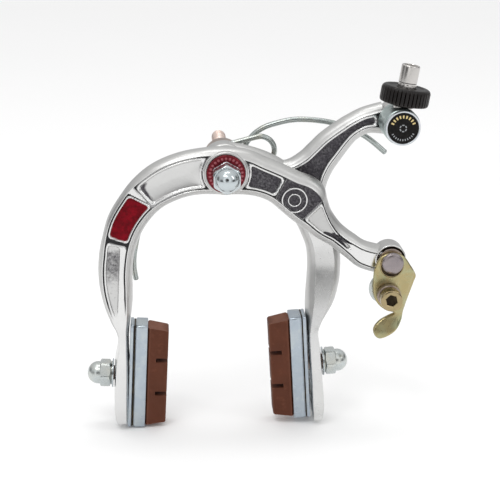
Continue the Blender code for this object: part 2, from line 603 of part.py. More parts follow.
def shoe(side, stud_at, rim_sign, pad_shift, paddle_t):
    """A shoe whose rim lies towards rim_sign along X. pad_shift moves the pad up its stud."""
    to_rim = Vector((rim_sign * math.cos(SHOE_TILT), 0, -math.sin(SHOE_TILT)))
    up_pad = Vector((rim_sign * math.sin(SHOE_TILT), 0, math.cos(SHOE_TILT)))
    on_stud = Matrix((up_pad, to_rim.cross(up_pad), to_rim)).transposed().to_4x4()
    on_stud.translation = Vector((stud_at[0], PADDLE_Y, stud_at[1])) * MM
    on_pad = on_stud @ Matrix.Translation((pad_shift * MM, 0, 0))

    holder = box_loft(side + "_pad_holder", HOLDER, ZINC, on_pad)
    bevel(holder, 0.25, segments=2, min_angle=50)
    cut(holder, box_loft(side + "_holder_cavity", CAVITY, None, on_pad),
        cylinder(side + "_holder_hole", BORE_R, -3, 4, 24, on_stud))

    rubber = box_loft(side + "_pad_rubber", RUBBER, BROWN, on_pad)
    for k, offset in enumerate(GROOVE_OFFSETS):
        place = on_pad @ Matrix.Translation((offset * MM, 0, 0))
        cut(rubber, box_loft("%s_pad_groove_%d" % (side, k), GROOVE, None, place))

    turned(side + "_pad_stud", STUD, STEEL, on_stud)
    outside = -paddle_t - 0.45    # rim-side face of the flat washer
    ring(side + "_flat_washer", BORE_R, 6.0, outside - 0.7, outside, ZINC, on_stud)
    ring(side + "_lock_washer", BORE_R, 4.9, outside - 1.6, outside - 0.9, STEEL, on_stud)
    nut_base = on_stud @ Vector((0, 0, (outside - 1.8) * MM))
    acorn_nut(side + "_acorn_nut", axis_matrix(nut_base / MM, -to_rim),
              hex_height=3.9, turn=0.0, bore_depth=6.6)


# ---------------------------------------------------------------- assembly
centre_bolt()
spring_block()
pivot_washers_and_nuts()
return_spring()
front_arm()
rear_arm()
adjuster_swivel()
turned("adjuster_barrel", BARREL, BRUSHED, ON_BARREL)
adjuster_knob()
quick_release()
cable_clamp()
shoe("left", stud_at=(-39.2, -84.6), rim_sign=1, pad_shift=0.4, paddle_t=5.6)
shoe("right", stud_at=(33.3, -81.9), rim_sign=-1, pad_shift=-0.4, paddle_t=5.2)

# Everything hangs on one empty at the frame seat.
seat = bpy.data.objects.new("frame_seat_origin", None)
bpy.context.scene.collection.objects.link(seat)
seat.location = (0, -BOLT_TAIL * MM, 0)
for piece in list(bpy.data.objects):
    if piece is not seat:
        piece.parent = seat
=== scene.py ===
"""A side-pull rim brake caliper: two forged arms on a centre bolt, spring, cable adjuster,
quick release and two brake shoes.

Lengths are in millimetres, and turn into metres when a mesh is made. The pivot bolt runs
along y through x = z = 0, z is up, and -y is the front. y counts from the frame seat.
"""
import bpy
import bmesh
import json
import math
from collections import namedtuple
import numpy as np
from mathutils import Matrix, Vector


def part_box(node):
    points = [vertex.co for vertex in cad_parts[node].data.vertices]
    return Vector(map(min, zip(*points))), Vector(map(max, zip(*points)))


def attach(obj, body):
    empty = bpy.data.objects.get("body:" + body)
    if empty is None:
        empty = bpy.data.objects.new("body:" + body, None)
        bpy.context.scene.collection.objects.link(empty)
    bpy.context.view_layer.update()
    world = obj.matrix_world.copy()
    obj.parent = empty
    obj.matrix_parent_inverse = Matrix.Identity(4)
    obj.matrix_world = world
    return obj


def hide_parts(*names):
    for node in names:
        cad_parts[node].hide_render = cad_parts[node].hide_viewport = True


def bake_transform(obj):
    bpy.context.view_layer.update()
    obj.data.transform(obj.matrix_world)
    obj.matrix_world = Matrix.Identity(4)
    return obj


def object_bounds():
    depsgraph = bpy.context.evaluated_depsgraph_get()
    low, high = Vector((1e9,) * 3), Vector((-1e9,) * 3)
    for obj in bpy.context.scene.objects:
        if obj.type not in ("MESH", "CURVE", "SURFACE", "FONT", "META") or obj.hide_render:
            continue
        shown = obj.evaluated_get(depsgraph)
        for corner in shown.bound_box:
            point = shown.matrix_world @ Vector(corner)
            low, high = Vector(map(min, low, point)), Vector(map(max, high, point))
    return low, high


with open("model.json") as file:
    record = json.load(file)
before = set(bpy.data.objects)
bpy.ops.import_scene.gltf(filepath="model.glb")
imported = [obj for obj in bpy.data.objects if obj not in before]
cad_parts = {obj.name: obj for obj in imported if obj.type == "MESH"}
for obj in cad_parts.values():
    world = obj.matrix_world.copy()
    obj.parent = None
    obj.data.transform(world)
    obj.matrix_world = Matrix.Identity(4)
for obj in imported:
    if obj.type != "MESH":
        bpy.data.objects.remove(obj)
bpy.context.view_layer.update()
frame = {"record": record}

MM = 0.001
SCENE = bpy.context.scene
JOINT = {joint["name"]: joint for joint in frame["record"]["behaviour"]["joints"]}
MOUNT = {mount["name"]: mount for mount in frame["record"]["mounts"]}
SEAT = MOUNT["frame_seat"]["pos_m"][1] / MM     # y of the frame seat


def middle(node):
    """Centre of a piece's box."""
    low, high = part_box(node)
    return [(a + b) / 2 / MM for a, b in zip(low, high)]


def middle_xz(node):
    centre = middle(node)
    return centre[0], centre[2]


def joint_origin(joint):
    """Place of a joint, with y from the seat."""
    origin = np.array(joint["pos_m"], float) / MM
    origin[1] -= SEAT
    return origin


# Centres in the x, z plane
PIVOT = (0, 0)
ANCHOR = middle_xz("lever_rivet")
CLAMP = middle_xz("cable_clamp_bolt")
EYE = middle_xz("swivel_cap")
MOTIF = (26.2, -11.2)                           # rings in the open panel of the front arm

FORWARD = (0, -1, 0)
BARREL_AXIS = np.array(JOINT["knob_turn"]["axis"], float)
BARREL_ORIGIN = joint_origin(JOINT["knob_turn"])

THREAD_RADIUS = 3.0
THREAD_PITCH = 1.0
THREAD_SAMPLES = 8              # rings per turn of thread
HEX_STEPS = 192


# ================================================================ mesh helpers
def smoothstep(start, end, x):
    t = np.clip((np.asarray(x, float) - start) / (end - start), 0, 1)
    return t * t * (3 - 2 * t)


def round_angles(steps):
    return np.arange(steps) * 2 * math.pi / steps


def new_mesh(name, geometry, paint=None):
    """A mesh with its faces turned outwards. paint: 3 or 4 values per point for the materials."""
    verts, faces = geometry
    verts = np.asarray(verts, float).copy()
    verts[:, 1] += SEAT
    mesh = bpy.data.meshes.new(name)
    mesh.from_pydata((verts * MM).tolist(), [], [tuple(int(i) for i in face) for face in faces])
    mesh.update()
    if paint is not None:
        layer = mesh.color_attributes.new("paint", "FLOAT_COLOR", "POINT")
        colours = np.ones((len(verts), 4), np.float32)
        colours[:, 3] = 0
        colours[:, :np.shape(paint)[-1]] = paint
        layer.data.foreach_set("color", colours.reshape(-1))
    bm = bmesh.new()
    bm.from_mesh(mesh)
    if bm.calc_volume(signed=True) < 0:
        bmesh.ops.reverse_faces(bm, faces=bm.faces[:])
    bm.to_mesh(mesh)
    bm.free()
    return mesh


def build(name, geometry, material, body, nodes, angle=35, paint=None):
    """Edges sharper than angle, in degrees, stay sharp.
    """
    mesh = new_mesh(name, geometry, paint)
    mesh.materials.append(material)
    mesh.shade_smooth()
    mesh.set_sharp_from_angle(angle=math.radians(angle))
    ob = bpy.data.objects.new(name, mesh)
    SCENE.collection.objects.link(ob)
    if body:
        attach(ob, body)
    if nodes:
        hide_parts(*nodes)
    return ob


def loft(rings, wrap=False):
    """Joins equal rings by quads. Open ends get a fan round their centre, or the ends wrap."""
    rings = np.asarray(rings, float)
    rows, count = rings.shape[:2]
    verts = rings.reshape(-1, 3)
    i = np.arange(rows if wrap else rows - 1)[:, None]
    j = np.arange(count)[None, :]
    this, following = i * count, ((i + 1) % rows) * count
    beside = (j + 1) % count
    quads = [this + j, this + beside, following + beside, following + j]
    faces = np.stack(quads, -1).reshape(-1, 4).tolist()
    if not wrap:
        first = len(verts)
        last = first + 1
        verts = np.vstack([verts, rings[0].mean(0), rings[-1].mean(0)])
        start = (rows - 1) * count
        faces += [[(j + 1) % count, j, first] for j in range(count)]
        faces += [[start + j, start + (j + 1) % count, last] for j in range(count)]
    return verts, faces


def axes_round(axis):
    """Three unit vectors, the last along the axis."""
    z = np.asarray(axis, float)
    z = z / np.linalg.norm(z)
    up = np.array([0.0, 0, 1])
    if abs(z @ up) > 0.99:
        up = np.array([1.0, 0, 0])
    x = np.cross(up, z)
    x /= np.linalg.norm(x)
    return x, np.cross(z, x), z


def rings_round(angles, levels, origin, axis):
    """Rings round an axis from (height, radius or radii) levels."""
    x, y, z = axes_round(axis)
    origin = np.asarray(origin, float)
    rings = []
    for height, radius in levels:
        radii = np.broadcast_to(radius, len(angles))[:, None]
        rings.append(origin + np.cos(angles)[:, None] * radii * x
                     + np.sin(angles)[:, None] * radii * y + height * z)
    return rings


def face_ring(angles, centre, radius, height):
    """A ring in the x, z plane, height in front of the seat."""
    return np.stack([centre[0] + np.cos(angles) * radius, 0 * angles - height,
                     centre[1] + np.sin(angles) * radius], -1)


def rounded(profile, radius, closed=True):
    """A profile with each corner turned into a small arc."""
    points = [np.array(point, float) for point in profile]
    out = []
    for i, corner in enumerate(points):
        if not closed and i in (0, len(points) - 1):
            out.append(corner)
            continue
        back, ahead = points[i - 1] - corner, points[(i + 1) % len(points)] - corner
        len_back, len_ahead = np.linalg.norm(back), np.linalg.norm(ahead)
        cosine = back @ ahead / max(len_back * len_ahead, 1e-9)
        if cosine < -0.97 or min(len_back, len_ahead) < 1e-6:
            out.append(corner)
            continue
        reach = min(radius, 0.45 * len_back, 0.45 * len_ahead)
        start = corner + back / len_back * reach
        end = corner + ahead / len_ahead * reach
        for t in np.linspace(0, 1, 4):
            out.append((1 - t) ** 2 * start + 2 * t * (1 - t) * corner + t * t * end)
    return [tuple(point) for point in out]


def lathe(name, profile, origin, axis, material, body, nodes, slot, steps=96, closed=True,
          soft=0.12, angle=35, shape=None, paint=None):
    """Turns a (radius, height) profile round an axis.

    soft rounds the corners; shape(angles, radius, height) gives the radii of flutes and
    threads; paint(radius, height) gives four paint values.
    """
    if soft:
        profile = rounded(profile, soft, closed)
    angles = round_angles(steps)
    levels = []
    for radius, height in profile:
        if shape is not None and radius > 1e-6:
            levels.append((height, shape(angles, radius, height)))
        else:
            levels.append((height, max(radius, 0.0)))
    verts, faces = loft(rings_round(angles, levels, origin, axis), wrap=closed)
    values = None
    if paint is not None:
        values = np.zeros((len(verts), 4))
        painted = [paint(radius, height) for radius, height in profile]
        values[:len(profile) * steps] = np.repeat(painted, steps, axis=0)
    return build(name, (verts, faces), material, body, nodes, angle, values)


def turned(name, profile, centre, material, body, nodes, slot, **options):
    """A lathe piece along y at an x, z centre. Heights count forward from the seat."""
    origin = (centre[0], 0, centre[1])
    return lathe(name, profile, origin, FORWARD, material, body, nodes, slot, **options)


def catmull(points, s):
    """Point at parameter s on the smooth curve through the points."""
    points = np.asarray(points, float)
    i = int(min(max(math.floor(s), 0), len(points) - 2))
    t = s - i
    a, b = points[max(i - 1, 0)], points[i]
    c, d = points[i + 1], points[min(i + 2, len(points) - 1)]
    return 0.5 * (2 * b + (c - a) * t + (2 * a - 5 * b + 4 * c - d) * t * t
                  + (3 * b - a - 3 * c + d) * t ** 3)


def smooth_outline(points, per):
    """A closed smooth curve, with per points from each given point to the next."""
    wrapped = [points[-1]] + list(points) + [points[0], points[1]]
    return np.array([catmull(wrapped, 1 + k / per) for k in range(len(points) * per)])


def signed_distance(x, z, outline):
    """Distance to a closed polygon in the x, z plane, positive inside."""
    grid = np.stack([x.ravel(), z.ravel()], -1)
    starts = np.asarray(outline, float)
    best = np.full(len(grid), 1e9)
    inside = np.zeros(len(grid), bool)
    for a, b in zip(starts, np.roll(starts, -1, axis=0)):
        edge = b - a
        t = np.clip(((grid - a) @ edge) / max(edge @ edge, 1e-12), 0, 1)
        away = np.hypot(grid[:, 0] - a[0] - t * edge[0], grid[:, 1] - a[1] - t * edge[1])
        best = np.minimum(best, away)
        spans = (a[1] > grid[:, 1]) != (b[1] > grid[:, 1])
        # level edges divide by zero, but they span nothing
        with np.errstate(divide="ignore", invalid="ignore"):
            crossing = a[0] + (grid[:, 1] - a[1]) / (b[1] - a[1]) * (b[0] - a[0])
        inside ^= spans & (grid[:, 0] < crossing)
    return (np.where(inside, best, -best)).reshape(x.shape)


# ================================================================ materials
class Shader:
    """A node tree with short ways to add the nodes used here."""

    def __init__(self, tree):
        self.tree = tree

    def add(self, kind, **settings):
        node = self.tree.nodes.new("ShaderNode" + kind)
        for key, value in settings.items():
            setattr(node, key, value)
        return node

    def feed(self, socket, value):
        """Links a socket, or sets a number or an RGB colour."""
        if isinstance(value, bpy.types.NodeSocket):
            self.tree.links.new(value, socket)
        elif isinstance(value, tuple):
            socket.default_value = (*value, 1)
        else:
            socket.default_value = value

    def mix_colour(self, factor, first, second):
        node = self.add("Mix", data_type="RGBA")
        for index, value in ((0, factor), (6, first), (7, second)):
            self.feed(node.inputs[index], value)
        return node.outputs[2]

    def mix_value(self, factor, first, second):
        node = self.add("Mix", data_type="FLOAT")
        for index, value in ((0, factor), (2, first), (3, second)):
            self.feed(node.inputs[index], value)
        return node.outputs[0]

    def arithmetic(self, operation, *values):
        node = self.add("Math", operation=operation)
        for socket, value in zip(node.inputs, values):
            self.feed(socket, value)
        return node.outputs[0]

    def noise(self, scale, detail=4, roughness=0.5, distortion=0.0):
        node = self.add("TexNoise")
        self.feed(node.inputs["Vector"], self.add("TexCoord").outputs["Object"])
        node.inputs["Scale"].default_value = scale
        node.inputs["Detail"].default_value = detail
        node.inputs["Roughness"].default_value = roughness
        node.inputs["Distortion"].default_value = distortion
        return node.outputs["Fac"]

    def remap(self, value, start, end, low=0.0, high=1.0, curve="LINEAR"):
        """Takes start..end of a value to low..high."""
        node = self.add("MapRange", interpolation_type=curve)
        self.feed(node.inputs["Value"], value)
        node.inputs["From Min"].default_value = start
        node.inputs["From Max"].default_value = end
        node.inputs["To Min"].default_value = low
        node.inputs["To Max"].default_value = high
        return node.outputs["Result"]

    def bump(self, height, strength, distance, normal=None):
        node = self.add("Bump")
        node.inputs["Strength"].default_value = strength
        node.inputs["Distance"].default_value = distance
        self.feed(node.inputs["Height"], height)
        if normal is not None:
            self.feed(node.inputs["Normal"], normal)
        return node.outputs["Normal"]

    def worn_edges(self):
        """Convex edges, from how far the surface bends."""
        return self.remap(self.add("NewGeometry").outputs["Pointiness"], 0.52, 0.58)

    def paint(self):
        """The four channels of the paint attribute."""
        attribute = self.add("Attribute", attribute_name="paint")
        split = self.add("SeparateColor")
        self.feed(split.inputs["Color"], attribute.outputs["Color"])
        return (*split.outputs[:3], attribute.outputs["Alpha"])

    def surface(self, colour, **inputs):
        """Feeds the Principled shader."""
        principled = self.tree.nodes["Principled BSDF"]
        self.feed(principled.inputs["Base Color"], colour)
        for key, value in inputs.items():
            self.feed(principled.inputs[SURFACE_INPUTS[key]], value)


SURFACE_INPUTS = {"metallic": "Metallic", "roughness": "Roughness",
                  "specular": "Specular IOR Level", "normal": "Normal"}


def new_material(name):
    material = bpy.data.materials.new(name)
    material.use_nodes = True
    return material, Shader(material.node_tree)


def metal(name, colour, roughness, vary=0.06, tint=None, scale=900, bumps=0.05):
    """Mottled metal. vary darkens broad patches, tint colours smaller ones, scale is the
    grain's and bumps its height."""
    material, shader = new_material(name)
    patches = shader.noise(60, detail=3)
    grain = shader.noise(scale, detail=6, roughness=0.6)
    darker = tuple(channel * (1 - vary) for channel in colour)
    base = shader.mix_colour(shader.remap(patches, 0.35, 0.65), colour, darker)
    if tint:
        stains = shader.noise(140, detail=4, roughness=0.6, distortion=1.0)
        base = shader.mix_colour(shader.remap(stains, 0.45, 0.7), base, tint)
    shader.surface(
        base, metallic=1.0,
        roughness=shader.remap(grain, 0.3, 0.7, low=roughness * 0.75, high=roughness * 1.3),
        normal=shader.bump(grain, strength=bumps, distance=0.00005))
    return material


def forging_material():
    """Polished forging. The paint channels are dark frosted floor, red enamel, painted shade in
    the grooves and satin flanks."""
    material, shader = new_material("polished_forging")
    floor, enamel, groove_shade, satin = shader.paint()
    grain = shader.noise(1500, detail=3, roughness=0.7)
    mottle = shader.noise(520, detail=5, roughness=0.65)
    patches = shader.noise(45, detail=3)
    # half-worn paint breaks up into specks
    amount = shader.arithmetic("MULTIPLY_ADD", floor, 1.6, 0.0)
    specks = shader.arithmetic("SUBTRACT", amount, shader.noise(1100, detail=5, roughness=0.7))
    floor = shader.remap(specks, 0.0, 0.45)

    mix = shader.mix_colour
    polish = mix(shader.remap(patches, 0.35, 0.65), (0.76, 0.76, 0.75), (0.70, 0.70, 0.70))
    flank_grain = shader.remap(shader.noise(240, detail=5, roughness=0.7), 0.3, 0.7)
    flank = mix(flank_grain, (0.57, 0.57, 0.56), (0.53, 0.53, 0.525))
    frost = mix(shader.remap(grain, 0.40, 0.64), (0.030, 0.028, 0.033), (0.155, 0.150, 0.160))
    frost = mix(shader.remap(mottle, 0.4, 0.7), frost, (0.055, 0.050, 0.060))
    red = mix(shader.remap(mottle, 0.35, 0.7), (0.205, 0.002, 0.009), (0.085, 0.001, 0.004))
    colour = mix(satin, polish, flank)
    # painted shade: the grooves are coloured near black, for the shade and dark reflections that
    # fall in them
    colour = mix(groove_shade, colour, (0.012, 0.012, 0.014))
    colour = mix(floor, colour, frost)
    colour = mix(enamel, colour, red)

    metallic = shader.mix_value(groove_shade, 1.0, 0.3)
    metallic = shader.mix_value(floor, metallic, 0.7)
    metallic = shader.mix_value(enamel, metallic, 0.0)
    roughness = shader.remap(mottle, 0.3, 0.7, low=0.15, high=0.24)
    for mask, value in ((satin, 0.40), (groove_shade, 0.5), (floor, 0.52), (enamel, 0.32)):
        roughness = shader.mix_value(mask, roughness, value)
    # the grain stands out only on the frosted floor
    height = shader.arithmetic("MULTIPLY", grain, shader.mix_value(floor, 0.03, 1.0))
    shader.surface(colour, metallic=metallic, roughness=roughness,
                   specular=shader.mix_value(enamel, 0.5, 0.08),
                   normal=shader.bump(height, strength=0.35, distance=0.00012))
    return material


def rubber_material():
    material, shader = new_material("brown_brake_rubber")
    patches = shader.noise(90, detail=4)
    mottle = shader.noise(420, detail=5, roughness=0.6)
    grain = shader.noise(2200, detail=3, roughness=0.7)
    mix = shader.mix_colour
    colour = mix(shader.remap(patches, 0.3, 0.7), (0.105, 0.032, 0.016), (0.082, 0.025, 0.012))
    colour = mix(shader.remap(mottle, 0.55, 0.8), colour, (0.135, 0.048, 0.028))
    colour = mix(shader.worn_edges(), colour, (0.17, 0.068, 0.042))
    coarse = shader.bump(mottle, strength=0.25, distance=0.00008)
    shader.surface(colour, specular=0.2,
                   roughness=shader.remap(mottle, 0.3, 0.7, low=0.55, high=0.78),
                   normal=shader.bump(grain, strength=0.25, distance=0.00003, normal=coarse))
    return material


def plastic_material():
    material, shader = new_material("black_moulding")
    mottle = shader.noise(260, detail=4, roughness=0.6)
    grain = shader.noise(2400, detail=3, roughness=0.7)
    colour = shader.mix_colour(shader.remap(mottle, 0.35, 0.7),
                               (0.006, 0.005, 0.005), (0.013, 0.011, 0.011))
    colour = shader.mix_colour(shader.worn_edges(), colour, (0.040, 0.033, 0.030))
    shader.surface(colour, specular=0.22,
                   roughness=shader.remap(mottle, 0.3, 0.7, low=0.30, high=0.44),
                   normal=shader.bump(grain, strength=0.2, distance=0.00003))
    return material


def red_ring_material():
    """Red, with pale dots in the first paint channel."""
    material, shader = new_material("red_ring")
    grain = shader.noise(900, detail=5, roughness=0.6)
    dots = shader.paint()[0]
    colour = shader.mix_colour(shader.remap(grain, 0.3, 0.7),
                               (0.20, 0.005, 0.013), (0.085, 0.003, 0.009))
    colour = shader.mix_colour(dots, colour, (0.42, 0.13, 0.15))
    shader.surface(colour, metallic=0.35, specular=0.3,
                   roughness=shader.remap(grain, 0.3, 0.7, low=0.30, high=0.46),
                   normal=shader.bump(grain, strength=0.1, distance=0.00004))
    return material


def cap_material():
    """Black enamel. The paint channels are gold line work and bright rim."""
    material, shader = new_material("cap_face")
    grain = shader.noise(900, detail=5, roughness=0.6)
    gold, rim = shader.paint()[:2]
    colour = shader.mix_colour(shader.remap(grain, 0.35, 0.7),
                               (0.008, 0.008, 0.008), (0.018, 0.017, 0.016))
    colour = shader.mix_colour(gold, colour, (0.72, 0.58, 0.28))
    colour = shader.mix_colour(rim, colour, (0.66, 0.69, 0.72))
    metallic = shader.mix_value(gold, shader.mix_value(rim, 0.0, 1.0), 0.8)
    shader.surface(colour, metallic=metallic, specular=0.04,
                   roughness=shader.remap(grain, 0.3, 0.7, low=0.28, high=0.40),
                   normal=shader.bump(grain, strength=0.06, distance=0.00004))
    return material


FORGING = forging_material()
ZINC = metal("bright_zinc", (0.56, 0.61, 0.63), roughness=0.17, vary=0.04,
             tint=(0.54, 0.59, 0.61), bumps=0.01)
WORN_ZINC = metal("worn_zinc", (0.57, 0.61, 0.61), roughness=0.27, vary=0.08,
                  tint=(0.58, 0.59, 0.55), scale=700)
PRESSING = metal("zinc_pressing", (0.45, 0.51, 0.57), roughness=0.33, vary=0.08,
                 tint=(0.51, 0.56, 0.58), scale=700, bumps=0.07)
WIRE = metal("drawn_wire", (0.40, 0.435, 0.425), roughness=0.24,
             tint=(0.43, 0.43, 0.38), scale=700, bumps=0.03)
DULL_ZINC = metal("dull_zinc", (0.42, 0.50, 0.49), roughness=0.40, vary=0.08,
                  tint=(0.47, 0.53, 0.52), scale=700, bumps=0.08)
SCREW = metal("threaded_steel", (0.78, 0.62, 0.55), roughness=0.34, vary=0.15,
              tint=(0.82, 0.74, 0.70), scale=600, bumps=0.1)
BRONZE = metal("block_plating", (0.40, 0.325, 0.285), roughness=0.38, vary=0.15,
               tint=(0.50, 0.43, 0.38), scale=500, bumps=0.10)
CHROMATE = metal("yellow_chromate", (0.46, 0.385, 0.20), roughness=0.28, vary=0.16,
                 tint=(0.40, 0.40, 0.24), scale=500, bumps=0.06)
GOLD_CHROMATE = metal("gold_chromate", (0.40, 0.315, 0.18), roughness=0.20, vary=0.14,
                      tint=(0.33, 0.27, 0.14), scale=700)
# painted shade: a dark brown metal put into recesses, sockets and gaps where shade falls
RECESS_SHADE = metal("painted_recess_shade", (0.035, 0.026, 0.018), roughness=0.5, vary=0.3,
               tint=(0.07, 0.05, 0.03), scale=600, bumps=0.1)
RIVET = metal("dull_rivet", (0.33, 0.29, 0.295), roughness=0.30, vary=0.10,
              tint=(0.27, 0.24, 0.25), scale=500, bumps=0.10)
TUBE = metal("turned_aluminium", (0.60, 0.58, 0.56), roughness=0.16, vary=0.05, bumps=0.02)
RUBBER = rubber_material()
PLASTIC = plastic_material()
RED_RING = red_ring_material()
CAP = cap_material()

# ================================================================ arms
FRONT_FACES = (-29.5, -20.8)     # y of the front arm's front and back
REAR_FACES = (-19.4, -11.2)      # y of the rear arm's
BRANCH_FACES = (REAR_FACES[0], REAR_FACES[1] - 0.1)


def with_faces(rows, faces):
    """Completes station rows with the y of the arm's own front and back where left out."""
    return [row + faces[len(row) - 4:] for row in rows]


# Stations along each arm: x, z of the outer or upper edge; x, z of the other edge;
# y of the front face; y of the back face.
FRONT_STATIONS = with_faces([
    (-45.2, -101.6, -39.5, -101.6, -27.8, -12.2), (-45.3, -97.0, -39.4, -97.0, -28.0, -12.0),
    (-44.6, -80.0, -38.8, -80.0, -28.0, -12.0), (-43.2, -71.5, -38.7, -71.0, -28.0, -12.0),
    (-43.4, -65.6, -38.4, -64.8, -28.2, -12.6), (-45.6, -60.6, -37.6, -59.2, -28.6, -13.8),
    (-47.6, -54.4, -36.8, -53.2, -29.1, -16.0), (-49.1, -46.4, -36.5, -46.2, -29.4, -18.6),
    (-49.4, -39.1, -36.4, -39.8, FRONT_FACES[0], -20.2),
    (-48.7, -31.6, -35.6, -32.9), (-47.3, -25.1, -34.3, -28.3), (-44.8, -17.0, -32.0, -23.0),
    (-40.1, -9.2, -29.0, -18.6), (-34.7, -2.5, -25.6, -15.0), (-27.6, 3.1, -21.5, -12.3),
    (-18.8, 6.9, -15.0, -9.8), (-9.5, 8.8, -8.5, -8.9), (0.0, 9.3, 0.0, -9.2),
    (8.5, 8.0, 6.5, -9.3), (15.0, 5.2, 12.0, -10.2), (21.5, 2.4, 17.0, -12.4),
    (28.0, -0.8, 21.2, -16.0), (33.8, -3.2, 25.5, -19.8), (37.8, -6.9, 30.0, -23.2),
    (39.2, -11.9, 33.6, -26.1), (40.7, -16.2, 36.8, -28.2), (43.9, -21.0, 40.1, -30.1),
    (47.0, -24.0, 43.5, -32.8), (50.1, -26.3, 47.0, -35.7), (54.0, -29.0, 51.5, -39.4),
    (59.2, -30.6, 57.5, -41.6), (62.5, -31.0, 61.5, -41.8),
], FRONT_FACES)
REAR_LIMB = with_faces([
    (39.5, -102.6, 34.7, -102.6, -27.8, -12.2), (39.8, -98.0, 34.3, -98.0, -28.0, -12.0),
    (39.0, -88.5, 33.9, -89.0, -28.0, -12.0), (37.8, -75.0, 33.0, -76.0, -28.0, -12.0),
    (37.0, -67.4, 32.5, -68.4, -27.5, -12.0), (38.4, -63.6, 32.2, -62.5, -26.7, -11.8),
    (41.0, -59.8, 32.0, -57.6, -25.7, -11.5), (43.7, -55.0, 32.2, -53.0, -24.4, -11.3),
    (45.6, -48.0, 32.7, -47.0, -22.3), (46.1, -42.2, 33.0, -42.0, -20.7),
    (46.0, -37.4, 32.9, -37.8, -19.9), (45.0, -31.8, 32.3, -33.5), (43.2, -26.0, 30.5, -28.7),
    (40.5, -20.0, 28.1, -23.8), (37.5, -13.0, 24.4, -19.0), (31.0, -5.0, 19.5, -14.6),
    (21.5, 2.2, 13.0, -11.2), (12.0, 6.4, 6.5, -9.6), (2.0, 8.9, -0.5, -8.9),
], REAR_FACES)
REAR_BRANCH = with_faces([
    (19.5, 1.0, 33.5, -19.0), (24.6, 1.5, 38.6, -12.5), (29.4, 4.3, 40.6, -6.8),
    (33.1, 7.8, 42.6, -2.6), (37.4, 11.9, 45.2, 1.2), (42.9, 15.9, 48.6, 6.0),
    (47.2, 18.6, 51.7, 9.4), (53.3, 21.6, 56.0, 11.6), (60.6, 23.6, 61.8, 11.3),
], BRANCH_FACES)

# Panels lie between the ridges, each with a bead round it. Outside the beads the metal
# drops into a dark groove.
#   depth      of the floor          ends       lines across the arm, inside on their left
#   x_range    where it may lie      at_boss    ends at the pivot boss
#   bead       from the ridge        blend      softness of the corners
#   start      of the floor          floor_end  a line that ends the floor alone
Panel = namedtuple("Panel", "kind depth ends x_range at_boss bead blend start floor_end",
                   defaults=((-999, 999), False, 1.0, 1.6, 0.25, None))
CHANNEL_END = ((-33.3, -5.6), (-27.4, -12.6))
RED_END = ((-30.6, -11.5), (-36.0, -8.5))
OPEN_BOSS_END = ((23.3, -1.9), (18.9, -9.9))
FRONT_PANELS = [
    Panel("channel", 0.75, [CHANNEL_END], (-999, 0), at_boss=True),
    Panel("red", 0.8, [RED_END, ((-44.9, -24.4), (-36.0, -27.6))], (-999, -20), start=0.12),
    Panel("frost_fade", 1.2, [((-38.4, -28.7), (-46.6, -26.6))], (-999, -20),
          floor_end=((-41.7, -52.0), (-40.2, -28.0))),
    Panel("dark", 1.2, [((18.3, -9.9), (22.6, -1.9))], (0, 999), at_boss=True),
    Panel("open", 1.25, [((30.0, -18.6), (34.9, -13.9))], (5, 999), bead=0.35, blend=0.3),
    Panel("slate", 1.1, [((35.2, -14.3), (30.2, -19.0)), ((46.4, -33.4), (50.4, -28.6))],
          (25, 999)),
]
REAR_PANELS = [Panel("dark", 1.15, [((34.0, -16.0), (44.0, -12.0)), ((59.0, 13.0), (58.2, 21.0))],
                     bead=0.7, start=0.35)]

# Distance of the ridges from the front arm's edges: station, outer, inner
FRONT_INSETS = np.array([
    (0, 0.8, 0.9), (3.5, 0.8, 0.9), (5.5, 1.5, 1.6), (6.5, 1.4, 2.1), (9.0, 1.4, 2.2),
    (10.2, 0.9, 2.5), (12.2, 0.9, 2.5), (13.6, 1.7, 2.2), (16.0, 1.8, 2.2), (18.0, 3.0, 2.3),
    (23.0, 3.2, 2.4), (24.5, 2.6, 2.2), (27.5, 2.6, 2.2), (29.0, 2.0, 2.0)])


def smooth_min(a, b, width):
    t = np.clip(0.5 + 0.5 * (b - a) / width, 0, 1)
    return b * (1 - t) + a * t - width * t * (1 - t)


def side_of(line, x, z):
    """Distance from a line, positive on its left."""
    a, b = line
    cross = (b[0] - a[0]) * (z - a[1]) - (b[1] - a[1]) * (x - a[0])
    return cross / math.hypot(b[0] - a[0], b[1] - a[1])


def spindle(x, z, start, end, half_width):
    """One inside a spindle from start to end, fading at its edge."""
    a, b = np.array(start), np.array(end)
    t = ((x - a[0]) * (b[0] - a[0]) + (z - a[1]) * (b[1] - a[1])) / ((b - a) @ (b - a))
    t = np.clip(t, 0, 1)
    away = np.hypot(x - a[0] - t * (b[0] - a[0]), z - a[1] - t * (b[1] - a[1]))
    radius = half_width * (4 * t * (1 - t)) ** 0.7 + 0.06
    return smoothstep(1.35, 0.65, away / radius)


def groove_relief(x, z, ridge, fade, front):
    """Depth and painted shade of the sunk ground between the ridges, before the panels."""
    groove = smoothstep(0.16, 0.36, ridge) * fade
    rim = smoothstep(0.30, 0.05, ridge) * fade
    depth = 0.8 * groove - 0.12 * rim
    # least painted shade beside the long bright channel
    less_shade = (smoothstep(-34.0, -31.6, x) * smoothstep(-9.6, -12.0, x)
             * smoothstep(-14.0, -12.0, z))
    groove_shade = groove * (1 - 0.75 * less_shade)
    # on the neck only a fine line follows each ridge
    neck = smoothstep(52.6, 54.2, 0.711 * x - 0.704 * z) * smoothstep(30.0, 34.0, x)
    keep = [1 - neck * smoothstep(0.45, 0.75, ridge)]
    # the boss is plain
    keep.append(1 - smoothstep(9.0, 8.6, np.hypot(x, z)))
    if front:
        # the plain land between the channel and the red panel
        land = (smoothstep(-0.62, -0.85, side_of(CHANNEL_END, x, z))
                * smoothstep(-0.62, -0.80, side_of(RED_END, x, z)))
        land = land * smoothstep(-15.5, -13.5, z) * smoothstep(-24.0, -27.0, x)
        keep.append(1 - land)
    for part in keep:
        depth = depth * part
        groove_shade = groove_shade * part
    return depth, groove_shade


